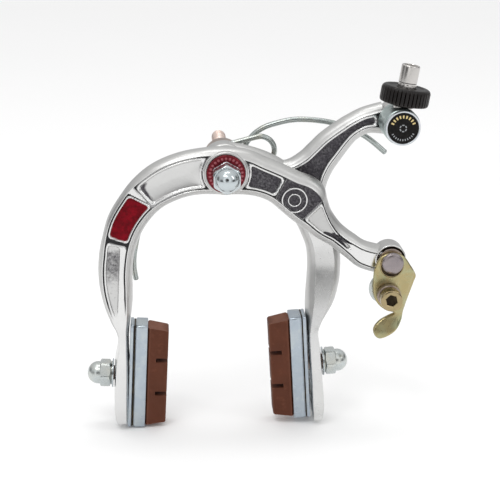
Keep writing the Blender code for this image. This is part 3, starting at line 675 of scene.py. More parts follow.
def panel_distance(panel, x, z, ridge):
    """Distance inside the middle of a panel's bead."""
    inside = ridge - panel.bead
    for line in panel.ends:
        inside = smooth_min(inside, side_of(line, x, z), panel.blend)
    if panel.kind == "open":
        inside = np.minimum(inside, side_of(OPEN_BOSS_END, x, z) - 0.3)
    if panel.at_boss:
        inside = smooth_min(inside, np.hypot(x, z) - 9.35, panel.blend)
    low, high = panel.x_range
    return np.where((x >= low) & (x < high), inside, -9)


def relief(x, z, ridge, fade, panels):
    """Depth behind the front face, and the four paint values.

    ridge is the distance inside the nearer ridge; fade is one where the relief is whole.
    """
    depth, groove_shade = groove_relief(x, z, ridge, fade, panels is FRONT_PANELS)
    dark = np.zeros_like(depth)
    red = np.zeros_like(depth)
    satin = np.zeros_like(depth)
    for panel in panels:
        inside = panel_distance(panel, x, z, ridge)
        if panel.kind == "open":
            # no bead: the floor reaches the walls
            floor = smoothstep(-0.1, 0.35, inside)
            depth = depth * (1 - floor) + floor * panel.depth
            groove_shade = groove_shade * (1 - floor)
            dark = np.maximum(dark, smoothstep(0.0, 0.35, inside))
            continue
        bead = smoothstep(-0.40, -0.20, inside)
        depth = depth * (1 - bead)
        groove_shade = groove_shade * (1 - bead)
        if panel.floor_end:
            inside = smooth_min(inside, side_of(panel.floor_end, x, z), 1.0)
        floor = smoothstep(panel.start, panel.start + 0.5, inside) * fade
        if panel.kind == "channel":
            # a small step, then a hollow that deepens away from the bead
            hollow = 1 - np.exp(-np.maximum(inside - 0.2, 0) / 2.4)
            depth = depth + floor * 0.5 + fade * panel.depth * hollow
            end = smoothstep(-25.5, -30.5, x + 0.35 * (z + 8))
            band = smoothstep(0.5, 0.9, inside) * smoothstep(3.6, 1.0, inside)
            dark = np.maximum(dark, band * end * 0.75)
            satin = np.maximum(satin, floor * 0.6)
            continue
        depth = depth + floor * panel.depth
        if panel.kind == "red":
            red = np.maximum(red, smoothstep(0.22, 0.42, inside) * fade)
        elif panel.kind == "frost_fade":
            # frost grows from the top of the panel downwards, then thins up from its foot
            grow = smoothstep(-27.6, -31.5, z) * (0.30 * smoothstep(-62.0, -46.0, z)
                                                  + 0.20 * smoothstep(-46.0, -36.0, z))
            dark = np.maximum(dark, smoothstep(0.05, 0.9, inside) * grow * fade)
            satin = np.maximum(satin, floor * 0.7)
        elif panel.kind == "slate":
            wide = spindle(x, z, (37.4, -24.2), (47.0, -32.2), half_width=2.0)
            thin = spindle(x, z, (41.0, -24.6), (48.8, -29.2), half_width=0.6)
            streaks = np.maximum(wide * smoothstep(0.1, 0.4, inside), thin)
            dark = np.maximum(dark, streaks * fade)
            satin = np.maximum(satin, floor * 0.9)
        else:
            edge = smoothstep(panel.start + 0.15, panel.start + 0.45, inside)
            dark = np.maximum(dark, edge * fade)
    return depth, np.stack([dark, red, groove_shade, satin], -1)


def section(row, front_count, side_count, back_count, insets):
    """Points round the forged section, and their distance inside the ridges (-1 elsewhere)."""
    outer_x, outer_z, inner_x, inner_z, y_front, y_back = row
    width = math.hypot(inner_x - outer_x, inner_z - outer_z)
    across = np.array([(inner_x - outer_x) / width, (inner_z - outer_z) / width])
    outer, inner = insets
    thick = y_back - y_front
    bevel = 0.24
    least_back = 2.2            # least rounding at the back edges

    def side(inset):
        back = max(inset, least_back)
        return [(-inset, y_front), (-0.32 * inset, y_front + 0.18 * thick),
                (0, y_front + 0.42 * thick), (0, y_front + 0.62 * thick),
                (-0.4 * back, y_front + 0.88 * thick), (-back, y_back)]

    # more points near the ridges
    t = np.linspace(0, 1, front_count)
    t = 0.5 - 0.5 * np.cos(math.pi * (0.12 + 0.76 * t))
    t = (t - t[0]) / (t[-1] - t[0])
    span = width - outer - inner - 2 * bevel
    back_outer, back_inner = max(outer, least_back), max(inner, least_back)
    ring = [(outer + bevel + u * span, y_front) for u in t]
    ring += [(width - inner, y_front + 0.3)]
    for k in range(1, side_count):
        offset, y = catmull(side(inner), k * 5 / side_count)
        ring.append((width + offset, y))
    ring += [(width - back_inner - u * (width - back_inner - back_outer), y_back)
             for u in np.linspace(0, 1, back_count)]
    for k in range(side_count - 1, 0, -1):
        offset, y = catmull(side(outer), k * 5 / side_count)
        ring.append((-offset, y))
    ring = np.array(ring + [(outer, y_front + 0.3)])
    points = np.stack([outer_x + across[0] * ring[:, 0], ring[:, 1],
                       outer_z + across[1] * ring[:, 0]], -1)
    ridge = np.full(len(ring), -1.0)
    ridge[:front_count] = np.minimum(t, 1 - t) * span
    return points, ridge


def rounded_end(ring, push, steps=5):
    """Rings that close a section with a rounded end, starting at the far tip."""
    centre = ring.mean(0)
    out = []
    for k in range(steps):
        turn = math.pi / 2 * (k + 0.6) / (steps + 0.6)
        size = math.sin(turn) ** 0.55
        shrunk = centre + (ring - centre) * np.array([0.35 + 0.65 * size, size, 1.0])
        out.append(shrunk + np.asarray(push) * math.cos(turn))
    return out


def arm(name, stations, panels, fade_of, insets_of, body, nodes, step, push=None, satin=0.0):
    """A forged arm. push is the reach of its rounded end, satin the least paint alpha."""
    counts = ((65, 12, 9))
    mids = np.array([((row[0] + row[2]) / 2, (row[1] + row[3]) / 2) for row in stations])
    stops = []
    s = 0.0
    while s < len(stations) - 1:
        stops.append(s)
        i = int(s)
        length = np.linalg.norm(mids[min(i + 1, len(mids) - 1)] - mids[i])
        s += step / max(length, 1e-6)
    stops.append(len(stations) - 1.0)
    rings, ridges = [], []
    for s in stops:
        row = catmull(stations, s)
        points, ridge = section(row, *counts, insets_of(s, row))
        rings.append(points)
        ridges.append(ridge)
    rings, ridges = np.array(rings), np.array(ridges)
    fade = fade_of(np.array(stops)[:, None] * np.ones(rings.shape[1])[None, :])
    front = ridges >= 0
    depth, paint = relief(rings[..., 0], rings[..., 2], np.maximum(ridges, 0), fade, panels)
    rings[..., 1] += np.where(front, depth, 0)
    paint = paint * front[..., None]
    paint[..., 3] = np.where(front, np.maximum(paint[..., 3], satin), 1.0)
    if push is not None:
        tip = rounded_end(rings[0], push)
        rings = np.concatenate([np.array(tip), rings])
        paint = np.concatenate([np.zeros((len(tip),) + paint.shape[1:]), paint])
    verts, faces = loft(rings)
    values = np.zeros((len(verts), 4))
    values[:rings.shape[0] * rings.shape[1]] = paint.reshape(-1, 4)
    return build(name, (verts, faces), FORGING, body, nodes, 82, values)


def cut_slot(ob, x, z_top, z_bottom):
    """Cuts the round-ended shoe slot through an arm's paddle, along x."""
    radius, length, y_mid = 3.35, 16, -20
    bare = (0, 0, 0, 0.3)       # paint of cut metal
    half, z_mid = (z_top - z_bottom) / 2 - radius, (z_top + z_bottom) / 2
    arc = [(radius * math.cos(a), half + radius * math.sin(a))
           for a in np.linspace(0, math.pi, 25)]
    arc += [(-y, -z) for y, z in arc]
    rings = [[(x + end, y_mid + y, z_mid + z) for y, z in arc]
             for end in (-length / 2, length / 2)]
    tool = bpy.data.objects.new("slot_tool", new_mesh("slot_tool", loft(rings), bare))
    SCENE.collection.objects.link(tool)

    cut = ob.modifiers.new("b", "BOOLEAN")
    cut.object = tool
    cut.operation = "DIFFERENCE"
    cut.solver = "EXACT"
    graph = bpy.context.evaluated_depsgraph_get()
    graph.update()
    mesh = bpy.data.meshes.new_from_object(ob.evaluated_get(graph),
                                           preserve_all_data_layers=True, depsgraph=graph)
    ob.modifiers.clear()
    old = ob.data
    ob.data = mesh
    mesh.name = old.name
    bpy.data.objects.remove(tool, do_unlink=True)

    # the paddle, cut walls included, is bare metal
    places = np.empty(len(mesh.vertices) * 3, np.float32)
    colours = np.empty(len(mesh.vertices) * 4, np.float32)
    mesh.vertices.foreach_get("co", places)
    layer = mesh.color_attributes["paint"].data
    layer.foreach_get("color", colours)
    colours = colours.reshape(-1, 4)
    low = places.reshape(-1, 3)[:, 2] < -66 * MM
    colours[low, :3] = 0
    colours[low, 3] = np.minimum(colours[low, 3], bare[3])
    layer.foreach_set("color", colours.reshape(-1))


def width_of(row):
    return math.hypot(row[2] - row[0], row[3] - row[1])


def front_insets(s, row):
    """How far the ridges stand in from the outer and the inner edge."""
    at, outer, inner = FRONT_INSETS.T
    most = 0.28 * width_of(row)
    return min(np.interp(s, at, outer), most), min(np.interp(s, at, inner), most)


def branch_insets(s, row):
    return (min(2.6, 0.24 * width_of(row)),) * 2


def rear_insets(s, row):
    """The paddle is flat to its edges; higher up the edges are rounded."""
    t = float(smoothstep(3.2, 5.5, s))
    return (0.55 * (1 - t) + min(2.6, 0.24 * width_of(row)) * t,) * 2


def forged_arms():
    front = arm("front_arm_forging", FRONT_STATIONS, FRONT_PANELS,
                lambda s: smoothstep(5.2, 6.6, s) * smoothstep(30.4, 29.4, s),
                front_insets, "front_arm_body", ["front_arm"], step=0.31, push=(0.1, 0, -3.0))
    cut_slot(front, x=-42.2, z_top=-77.9, z_bottom=-98.6)
    rear = arm("rear_arm_forging", REAR_LIMB, [], lambda s: s * 0, rear_insets,
               "rear_arm_body", ["rear_arm"], step=0.6, push=(-0.1, 0, -2.8), satin=0.3)
    cut_slot(rear, x=36.2, z_top=-75.2, z_bottom=-95.9)
    arm("rear_arm_branch", REAR_BRANCH, REAR_PANELS, lambda s: smoothstep(0.1, 0.9, s),
        branch_insets, "rear_arm_body", [], step=0.42)


def arm_turning(name, profile, centre, body, **options):
    turned(name, profile, centre, FORGING, body, [], "polished_aluminium", **options)


def bosses_and_eyes():
    arm_turning("front_arm_boss",
                [(0.5, 20.9), (8.1, 20.9), (8.4, 21.3), (8.4, 29.7), (8.0, 30.15), (7.4, 30.15),
                 (7.2, 29.9), (0.5, 29.9)],
                PIVOT, "front_arm_body", closed=False, steps=128, soft=0.2)
    base = 27.6
    for radius, half, top in ((4.72, 0.33, 29.15), (2.35, 0.26, 29.0)):
        arm_turning("front_arm_ring_%d" % (radius * 10),
                    [(radius - half, base), (radius - half * 0.8, top - 0.08),
                     (radius - half * 0.4, top), (radius + half * 0.4, top),
                     (radius + half * 0.8, top - 0.08), (radius + half, base)],
                    MOTIF, "front_arm_body", steps=120, soft=0.06,
                    paint=lambda r, h: (0.0, 0.0, 0.0, 0.0))
    # painted shade fills the eye's recess, the lip is polished and the rest satin
    arm_turning("front_arm_anchor_eye",
                [(0.5, 21.0), (5.2, 21.0), (6.1, 22.0), (6.1, 29.7), (5.9, 30.2), (5.65, 30.3),
                 (5.45, 30.15), (5.35, 28.9), (0.5, 28.9)],
                ANCHOR, "front_arm_body", closed=False, steps=112, soft=0.25,
                paint=lambda r, h: (0.0, 0, 1.0 if (h > 28 and r < 5.5) else 0.0,
                                    0.0 if h > 29.9 else 1.0))
    arm_turning("rear_arm_boss",
                [(0.5, 11.25), (8.2, 11.25), (8.9, 11.9), (8.9, 18.8), (8.3, 19.35), (0.5, 19.35)],
                PIVOT, "rear_arm_body", closed=False, steps=112, soft=0.4)
    arm_turning("rear_arm_eye",
                [(0.5, 11.25), (5.8, 11.25), (6.6, 12.0), (6.6, 18.6), (6.0, 19.35), (0.5, 19.35)],
                EYE, "rear_arm_body", closed=False, steps=112, soft=0.4)


forged_arms()
bosses_and_eyes()


# ================================================================ threads and nuts
def thread_shape(depth, start, end):
    """A helical thread that fades out at both ends."""
    def shape(angles, radius, height):
        phase = np.mod(height / THREAD_PITCH - angles / (2 * math.pi), 1.0)
        triangle = np.abs(phase - 0.5) * 2
        fade = float(smoothstep(start, start + 0.4, height) * smoothstep(end, end - 0.8, height))
        return radius - depth * fade * smoothstep(0.1, 0.9, triangle)
    return shape


def threaded_profile(start, end, tip):
    count = int((end - start - tip) / THREAD_PITCH * THREAD_SAMPLES)
    shank = [(THREAD_RADIUS, h) for h in np.linspace(start, end - tip, max(count, 2))]
    return shank + [(THREAD_RADIUS - tip * 0.7, end), (0.05, end)]


def hex_radius(angles, flats):
    turn = np.mod(angles, math.pi / 3) - math.pi / 6
    return flats / 2 / np.cos(turn)


def hex_levels(flats, bottom, top, turn):
    """Levels of a hexagon with both ends chamfered and its corners softened a little."""
    hexagon = hex_radius(round_angles(HEX_STEPS) + turn, flats)
    hexagon = np.minimum(hexagon, flats / 2 / math.cos(math.pi / 6) - 0.25)
    end_radius = flats / 2 * 0.985
    slope = math.tan(math.radians(60))
    drops = [0, 0.12, 0.25, 0.4, 0.6, 0.9]
    levels = [(bottom + d, np.minimum(hexagon, end_radius + d * slope)) for d in drops]
    return levels + [(top - d, np.minimum(hexagon, end_radius + d * slope))
                     for d in reversed(drops)]


def hex_nut(name, flats, bottom, top, bore, centre, body, nodes):
    levels = [(bottom + 0.5, bore), (bottom, bore + 0.5)]
    levels += hex_levels(flats, bottom, top, math.pi / 6)
    levels += [(top, bore + 0.5), (top - 0.5, bore)]
    rings = rings_round(round_angles(HEX_STEPS), levels, (centre[0], 0, centre[1]), FORWARD)
    build(name, loft(rings, wrap=True), ZINC, body, nodes, 28)


def acorn_nut(name, origin, axis, hex_height, turn, material, body, nodes):
    """A hexagon with a domed end and a blind bore."""
    flats, dome, dome_height, bore, bore_depth = 10.0, 4.5, 4.2, 3.2, 6.0
    dome_base = hex_height + 0.9
    levels = [(bore_depth, 0.05), (bore_depth, bore), (0.5, bore), (0.0, bore + 0.5)]
    levels += hex_levels(flats, 0.0, hex_height, turn)
    levels += [(hex_height, dome + 0.12), (hex_height + 0.15, dome), (dome_base, dome)]
    for a in np.linspace(0.08, math.pi / 2 - 0.05, 18):
        levels.append((dome_base + dome_height * math.sin(a), dome * math.cos(a)))
    rings = rings_round(round_angles(HEX_STEPS), levels, origin, axis)
    build(name, loft(rings), material, body, nodes, 28)


# ================================================================ pivot stack
def centre_bolt():
    end, thread_start = -SEAT, 2.0
    profile = [(0.05, -41.5)]
    profile += [(THREAD_RADIUS, h) for h in np.linspace(-41.4, thread_start, 12)]
    profile += threaded_profile(thread_start, end, tip=0.7)
    lathe("centre_bolt_rod", profile, (0, 0, 0), (0, 1, 0), SCREW, "root", ["centre_bolt"],
          "bolt_steel", steps=48, closed=False, soft=0,
          shape=thread_shape(0.32, 2.5, end - 0.2), angle=60)


def block_and_thrust_rings():
    turned("spring_block_body",
           [(3.3, 0), (6.8, 0), (7.3, 0.5), (7.3, 7.4), (6.9, 8.9), (5.6, 10.0), (3.6, 10.4),
            (3.3, 10.4)],
           PIVOT, BRONZE, "root", ["spring_block"], "spring_block", soft=0.35)
    for which, radius, back, front, soft in (("rear", 6.9, 10.6, 10.95, 0.08),
                                             ("mid", 7.4, 19.7, 20.5, 0.15)):
        turned(which + "_thrust_ring",
               [(3.35, back), (radius, back), (radius, front), (3.35, front)],
               PIVOT, ZINC, "root", [which + "_thrust_washer"], "zinc_plate", soft=soft)


def red_ring_washer():
    """Red ring with evenly spaced raised dots."""
    dots, dot_circle, dot_height = 26, 6.05, 0.10
    front = 31.35
    angles = round_angles(360)
    profile = rounded([(3.35, 30.35), (7.3, 30.35), (7.3, 31.1), (7.0, front)], 0.08, False)
    profile += [(r, front) for r in np.linspace(6.9, 4.9, 15)] + [(4.7, front), (3.35, front)]
    rings, paint = [], []
    for radius, height in profile:
        dot = np.zeros(len(angles))
        if height > 31.3 and 5.0 < radius < 6.9:
            phase = np.mod(angles * dots / (2 * math.pi), 1.0) - 0.5
            away = np.hypot(phase * 2 * math.pi * dot_circle / dots, (radius - dot_circle) * 0.8)
            dot = smoothstep(0.52, 0.34, away)
        rings.append(face_ring(angles, PIVOT, radius, height + dot_height * dot))
        paint.append(np.stack([dot * 0.8, dot * 0, dot * 0], -1))
    build("front_ring", loft(rings, wrap=True), RED_RING, "root", ["front_ring_washer"],
          40, np.array(paint).reshape(-1, 3))


centre_bolt()
block_and_thrust_rings()
red_ring_washer()
hex_nut("pivot_thin_nut", flats=10.0, bottom=31.6, top=34.5, bore=3.3, centre=PIVOT,
        body="root", nodes=["pivot_lock_nut"])
acorn_nut("pivot_dome_nut", (0, -34.75, 0), FORWARD, hex_height=5.2, turn=math.pi / 6,
          material=ZINC, body="root", nodes=["pivot_acorn_nut"])

# ================================================================ return spring
SPRING_Y = -5.2                  # y of the wire in the block
SPRING_SLOPE = math.tan(math.radians(13.7))
COIL_RADIUS = 5.8
# x, y, z of each leg beyond its coil
RIGHT_LEG = [(14.2, -2.4, 10.2), (20.0, -2.4, 12.8), (30.4, -2.6, 14.6), (44.3, -3.4, 13.0),
             (56.0, -4.6, 8.2), (64.6, -5.2, 1.4)]
LEFT_LEG = [(-23.4, -3.0, -8.8), (-28.8, -4.0, -17.0), (-33.1, -5.2, -26.5),
            (-35.7, -6.6, -37.0), (-36.2, -7.4, -43.5), (-35.5, -7.6, -48.8)]


def coil(x, z, start, turn, count, rise):
    """Points round a coil, turn degrees apart, moving rise along y."""
    points = []
    for k in range(count):
        a = math.radians(start + turn * k)
        points.append((x + COIL_RADIUS * math.cos(a), SPRING_Y + rise * k / (count - 1),
                       z + COIL_RADIUS * math.sin(a)))
    return points


def wire(points, radius, steps=20):
    """A round wire along a fine path, its far end softened."""
    path = np.asarray(points, float)
    along = np.gradient(path, axis=0)
    along /= np.linalg.norm(along, axis=1)[:, None]
    normal = np.array([0.0, 1.0, 0.0])
    angles = round_angles(steps)
    rings = []
    for point, tangent in zip(path, along):
        normal = normal - tangent * (normal @ tangent)
        normal /= np.linalg.norm(normal)
        other = np.cross(tangent, normal)
        rings.append(point + radius * (np.cos(angles)[:, None] * normal
                                       + np.sin(angles)[:, None] * other))
    last = rings[-1] - path[-1]
    for k, size in ((1, 0.93), (2, 0.75), (3, 0.45)):
        rings.append(path[-1] + along[-1] * 0.18 * k + last * size)
    return loft(rings)


def spring_half(name, side, coil_z, coil_points, leg, nodes):
    """One half of the wire, from the middle of the block to its end."""
    controls = [(x * side, SPRING_Y, 5.05 + SPRING_SLOPE * x * side) for x in (-0.4, 3.5, 6.6)]
    controls += coil_points + leg
    per = 10
    path = [catmull(controls, k / per) for k in range((len(controls) - 1) * per + 1)]
    ob = build(name, wire(path, radius=1.1), WIRE, None, nodes, 60)
    x, y, z = path[-1]
    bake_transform(ob)


# the right coil sits higher than the left
LEFT_COIL_Z, RIGHT_COIL_Z = -4.9, 2.7
spring_half("return_spring_left_leg", -1, LEFT_COIL_Z,
            coil(-14.0, LEFT_COIL_Z, start=105, turn=27, count=16, rise=3.0),
            LEFT_LEG, ["return_spring"])
spring_half("return_spring_right_leg", 1, RIGHT_COIL_Z,
            coil(14.7, RIGHT_COIL_Z, start=100, turn=-27, count=13, rise=2.7),
            RIGHT_LEG, [])


# ================================================================ cable adjuster
def swivel():
    turned("swivel_post",
           [(0.05, 9.4), (1.9, 9.4), (2.4, 9.8), (2.4, 10.95), (3.2, 10.95), (3.2, 19.8),
            (6.5, 19.8), (6.9, 20.2), (6.9, 32.8), (6.4, 33.2), (0.05, 33.2)],
           EYE, DULL_ZINC, "swivel", ["adjuster_swivel"], "zinc_plate",
           closed=False, steps=112, soft=0.2)
    turned("swivel_clip_ring", [(2.7, 10.05), (4.9, 10.05), (4.9, 10.85), (2.7, 10.85)],
           EYE, WIRE, "swivel", ["swivel_retaining_clip"], "spring_steel", soft=0.15)


def swivel_face():
    """Black face in a bright rim: gold bars above, pale ticks below, a small dashed circle."""
    steps, face = 360, 34.8
    angles = round_angles(steps)
    profile = [(0.05, 33.4), (6.2, 33.4), (6.5, 33.6), (6.6, 33.9), (6.6, face), (6.5, 35.05),
               (6.35, 35.1), (6.1, 35.1), (5.95, 35.0), (5.85, face)]
    rim_rows = len(profile) - 1
    profile += [(r, face) for r in np.linspace(5.7, 0.3, 46)] + [(0.05, face)]

    def phase(repeats):
        """Distance from the middle of each of the repeats, 0 to 0.5."""
        return np.abs(np.mod(angles * repeats / (2 * math.pi), 1.0) - 0.5)

    rings, paint = [], []
    for row, (radius, height) in enumerate(profile):
        gold, pale = np.zeros(steps), np.zeros(steps)
        if row > rim_rows:
            gap = smoothstep(0.30, 0.36, phase(6))
            dashes = smoothstep(0.24, 0.12, abs(radius - 1.2)) * (1 - gap)
            bars = smoothstep(0.26, 0.20, phase(22)) * smoothstep(0.62, 0.50, abs(radius - 4.35))
            gold = bars * (np.sin(angles) > 0.28)
            ticks = smoothstep(0.20, 0.14, phase(30)) * smoothstep(0.42, 0.32, abs(radius - 4.45))
            pale = np.maximum(dashes, ticks * (np.sin(angles) < -0.35))
        bright = np.ones(steps) if row < rim_rows else 0.55 * pale
        rings.append(face_ring(angles, EYE, radius, height + 0.05 * np.maximum(gold, pale)))
        paint.append(np.stack([gold, bright, gold * 0], -1))
    verts, faces = loft(rings)
    values = np.zeros((len(verts), 3))
    values[:len(profile) * steps] = np.array(paint).reshape(-1, 3)
    build("swivel_face_cap", (verts, faces), CAP, "swivel", ["swivel_cap"], 40,
          values)


def barrel():
    lathe("barrel_tube",
          [(1.3, -6.2), (3.2, -6.2), (3.5, -5.9), (3.5, 15.2), (3.42, 15.4), (3.42, 15.9),
           (3.5, 16.1), (3.5, 22.2), (3.2, 22.6), (2.75, 22.6), (2.6, 22.4), (2.6, 16.4),
           (1.3, 15.6)],
          BARREL_ORIGIN, BARREL_AXIS, TUBE, "barrel", ["adjuster_barrel"], "brushed_aluminium")


def knob():
    """Ribbed thumbwheel and the neck below it."""
    ribs, steps_per_rib, rim, flute_depth = 38, 10, 9.3, 0.62

    def flutes(angles, radius, height):
        phase = np.mod(angles * ribs / (2 * math.pi), 1.0)
        valley = smoothstep(0.62, 0.80, phase) * smoothstep(1.0, 0.82, phase)
        fade = smoothstep(7.85, 8.5, height) * smoothstep(14.1, 12.6, height)
        fade = fade * smoothstep(8.2, 8.9, radius)
        return radius - flute_depth * valley * fade

    profile = [(3.8, 7.4), (4.2, 7.4), (4.55, 7.7), (4.6, 7.75), (6.0, 7.8), (8.0, 7.85),
               (8.8, 8.0), (9.1, 8.25), (9.25, 8.7)]
    profile += [(rim, h) for h in np.linspace(9.2, 12.6, 7)]
    profile += [(rim - 1.5 + 1.5 * math.cos(a), 12.7 + 1.7 * math.sin(a))
                for a in np.linspace(0.15, math.pi / 2, 8)]
    profile += [(7.4, 14.4), (6.8, 14.3), (6.4, 14.05), (4.6, 14.0), (4.2, 14.0), (3.8, 13.8)]
    lathe("adjuster_thumbwheel", profile, BARREL_ORIGIN, BARREL_AXIS, PLASTIC, "knob",
          ["adjuster_knob"], "black_plastic", steps=ribs * steps_per_rib, soft=0,
          shape=flutes, angle=40)
    lathe("adjuster_neck", [(3.75, 6.9), (4.3, 6.9), (4.5, 7.1), (4.5, 7.9), (3.75, 7.9)],
          BARREL_ORIGIN, BARREL_AXIS, PLASTIC, "knob", [], "black_plastic", steps=64, soft=0.1)


swivel()
swivel_face()
barrel()
knob()

# ================================================================ quick release
# Outline of the lever: x, z
LEVER = [
    (57.3, -38.0), (59.4, -33.6), (63.9, -31.9), (68.4, -33.4), (71.4, -37.4), (73.6, -41.4),
    (72.9, -44.4), (70.9, -50.6), (69.3, -56.0), (68.5, -59.4), (66.6, -62.5), (63.5, -64.9),
    (59.8, -66.2), (57.6, -64.8), (57.2, -62.2), (59.4, -59.6), (62.8, -57.7), (65.4, -56.4),
    (62.4, -55.5), (59.2, -53.0), (57.2, -49.2), (56.8, -43.4)]
LEVER_HOLES = [(*ANCHOR, 2.9), (*CLAMP, 3.0)]     # x, z, radius
LEVER_FACES = (-33.2, -31.4)                      # y of its front and back
LEVER_EDGE = 0.45                                 # radius of its edges
RIVET_SEAT = (ANCHOR[0] - 0.1, ANCHOR[1] - 1.5)


def lever_bend(x, z):
    """y offset: the finger tab leans forward, and the right flank is bent the other way."""
    tab = smoothstep(-56.0, -66.0, z)
    corner_x, corner_z = 73.6, -41.4
    flank = corner_x + (z - corner_z) * np.where(z > corner_z, 0.2, 0.28)
    edge = smoothstep(2.2, 0.2, flank - x) * smoothstep(-33.0, -38.0, z)
    return -2.6 * tab + 1.3 * edge * (1 - tab)


def lever_plate():
    """A fine grid trimmed to the outline and the holes, with rounded edges."""
    outline = smooth_outline(LEVER, 10)
    cell = 0.24
    low, high = outline.min(0) - cell, outline.max(0) + cell
    count_x, count_z = int((high[0] - low[0]) / cell) + 1, int((high[1] - low[1]) / cell) + 1
    grid_x, grid_z = np.meshgrid(low[0] + np.arange(count_x + 1) * cell,
                                 low[1] + np.arange(count_z + 1) * cell, indexing="ij")

    def distance(x, z):
        inside = signed_distance(x, z, outline)
        for hole_x, hole_z, radius in LEVER_HOLES:
            inside = np.minimum(inside, np.hypot(x - hole_x, z - hole_z) - radius)
        return inside

    keep = distance(grid_x[:-1, :-1] + cell / 2, grid_z[:-1, :-1] + cell / 2) > 0
    cells = np.zeros(grid_x.shape, int)           # kept cells round each grid point
    for di in (0, 1):
        for dj in (0, 1):
            cells[di:di + count_x, dj:dj + count_z] += keep
    used = cells > 0
    border = used & (cells < 4)

    # draw the border points onto the outline or the hole they stand by
    x, z = grid_x.astype(float), grid_z.astype(float)
    probe = 0.02
    for _ in range(6):
        inside = distance(x, z)
        slope_x = (distance(x + probe, z) - inside) / probe
        slope_z = (distance(x, z + probe) - inside) / probe
        length = np.maximum(np.hypot(slope_x, slope_z), 0.3)
        x = np.where(border, x - inside * slope_x / length ** 2, x)
        z = np.where(border, z - inside * slope_z / length ** 2, z)
    inside = np.where(border, 0, np.maximum(distance(x, z), 0))
    near = np.clip(LEVER_EDGE - inside, 0, LEVER_EDGE)
    drop = LEVER_EDGE - np.sqrt(np.maximum(LEVER_EDGE * LEVER_EDGE - near * near, 0))

    count = used.sum()
    index = -np.ones(grid_x.shape, int)
    index[used] = np.arange(count)
    x, z, drop = x[used], z[used], drop[used]
    bend = lever_bend(x, z)
    front = np.stack([x, LEVER_FACES[0] + drop + bend, z], -1)
    back = np.stack([x, LEVER_FACES[1] - drop + bend, z], -1)
    i, j = np.nonzero(keep)
    quads = np.stack([index[i, j], index[i + 1, j], index[i + 1, j + 1], index[i, j + 1]], -1)
    faces = quads.tolist() + (quads[:, ::-1] + count).tolist()
    # edges met only once form the rim
    edges = {}
    for quad in quads:
        for a, b in zip(quad, np.roll(quad, -1)):
            if (b, a) in edges:
                del edges[(b, a)]
            else:
                edges[(a, b)] = 1
    faces += [[b, a, a + count, b + count] for a, b in edges]
    build("quick_release_plate", (np.vstack([front, back]), faces), CHROMATE, "quick_release",
          ["quick_release_lever"], 60)


def lever_rivet():
    turned("lever_rivet_head",
           [(0.05, 18.9), (2.0, 18.9), (4.0, 19.4), (4.0, 20.5), (2.5, 20.5), (2.5, 33.5),
            (4.0, 33.5), (4.2, 33.9), (4.2, 34.9), (3.9, 35.4), (3.2, 35.7), (2.2, 35.8),
            (0.05, 35.7)],
           ANCHOR, RIVET, "front_arm_body", ["lever_rivet"], "zinc_plate", closed=False,
           soft=0.3)
    # painted shadow: a dark disc set low behind the rivet head, so a dark crescent shows below it
    turned("lever_rivet_seat_shadow",
           [(0.05, 33.1), (4.0, 33.1), (4.15, 33.3), (4.1, 33.5), (0.05, 33.5)],
           RIVET_SEAT, RECESS_SHADE, "quick_release", ["quick_release_lever"], "yellow_chromate",
           closed=False, steps=64, soft=0.05)
    turned("lever_rivet_lip",
           [(4.05, 33.1), (4.1, 33.6), (4.35, 33.72), (4.6, 33.6), (4.75, 33.1)],
           RIVET_SEAT, GOLD_CHROMATE, "quick_release", [], "yellow_chromate", soft=0.05)
    # painted shade: a dark brown lining put in the eye's recess, round the spacer and behind the
    # lever
    turned("lever_recess_shade",
           [(0.5, 28.92), (5.33, 28.92), (5.33, 29.95), (5.2, 29.95), (5.2, 29.1), (0.5, 29.1)],
           ANCHOR, RECESS_SHADE, "front_arm_body", [], "polished_aluminium", closed=False, soft=0.03)
    turned("lever_spacer_ring", [(2.8, 30.65), (4.8, 30.65), (4.8, 31.15), (2.8, 31.15)],
           ANCHOR, BRONZE, "front_arm_body", ["lever_spacer"], "zinc_plate", soft=0.1)


def clamp_bolt():
    """Knurled socket screw, with a dark disc of painted shade in its socket."""
    angles = round_angles(HEX_STEPS)
    socket = hex_radius(angles + 0.3, 4.1)
    knurl = 0.10 * (0.5 + 0.5 * np.cos(angles * 32))
    screw = [(24.4, 0.05), (24.4, 2.2), (24.8, 2.6), (36.4, 2.6), (36.4, 3.9), (36.6, 4.2),
             (37.0, 4.25 - knurl), (39.6, 4.25 - knurl), (40.3, 4.25), (40.8, 4.15),
             (41.0, 3.9), (41.1, 3.4), (41.1, socket + 0.25), (40.9, socket), (38.6, socket),
             (38.4, socket * 0.8), (38.2, 0.05)]
    # painted shade: a dark disc set in the bottom of the socket
    shade_disc = [(38.5, 0.05), (38.5, socket - 0.02), (40.0, socket - 0.02),
             (40.05, socket - 0.12), (39.7, socket * 0.6), (39.6, 0.05)]
    for name, levels, material, nodes in (
            ("clamp_socket_screw", screw, GOLD_CHROMATE, ["cable_clamp_bolt"]),
            ("clamp_socket_shade", shade_disc, RECESS_SHADE, [])):
        rings = rings_round(angles, levels, (CLAMP[0], 0, CLAMP[1]), FORWARD)
        build(name, loft(rings), material, "quick_release", nodes)


def clamp_washer():
    """The washer's outline stands off-centre from its bore, up and towards -x."""
    rim = np.array(CLAMP) + (-0.9, 1.7)
    rows = ((CLAMP, 3.0, 30.35), (CLAMP, 3.15, 30.2), (rim, 6.2, 30.2), (rim, 6.4, 30.4),
            (rim, 6.4, 31.0), (rim, 6.2, 31.2), (CLAMP, 3.15, 31.2), (CLAMP, 3.0, 31.05))
    rings = [face_ring(round_angles(96), *row) for row in rows]
    build("clamp_washer_ring", loft(rings, wrap=True), WORN_ZINC, "quick_release",
          ["cable_clamp_washer"])


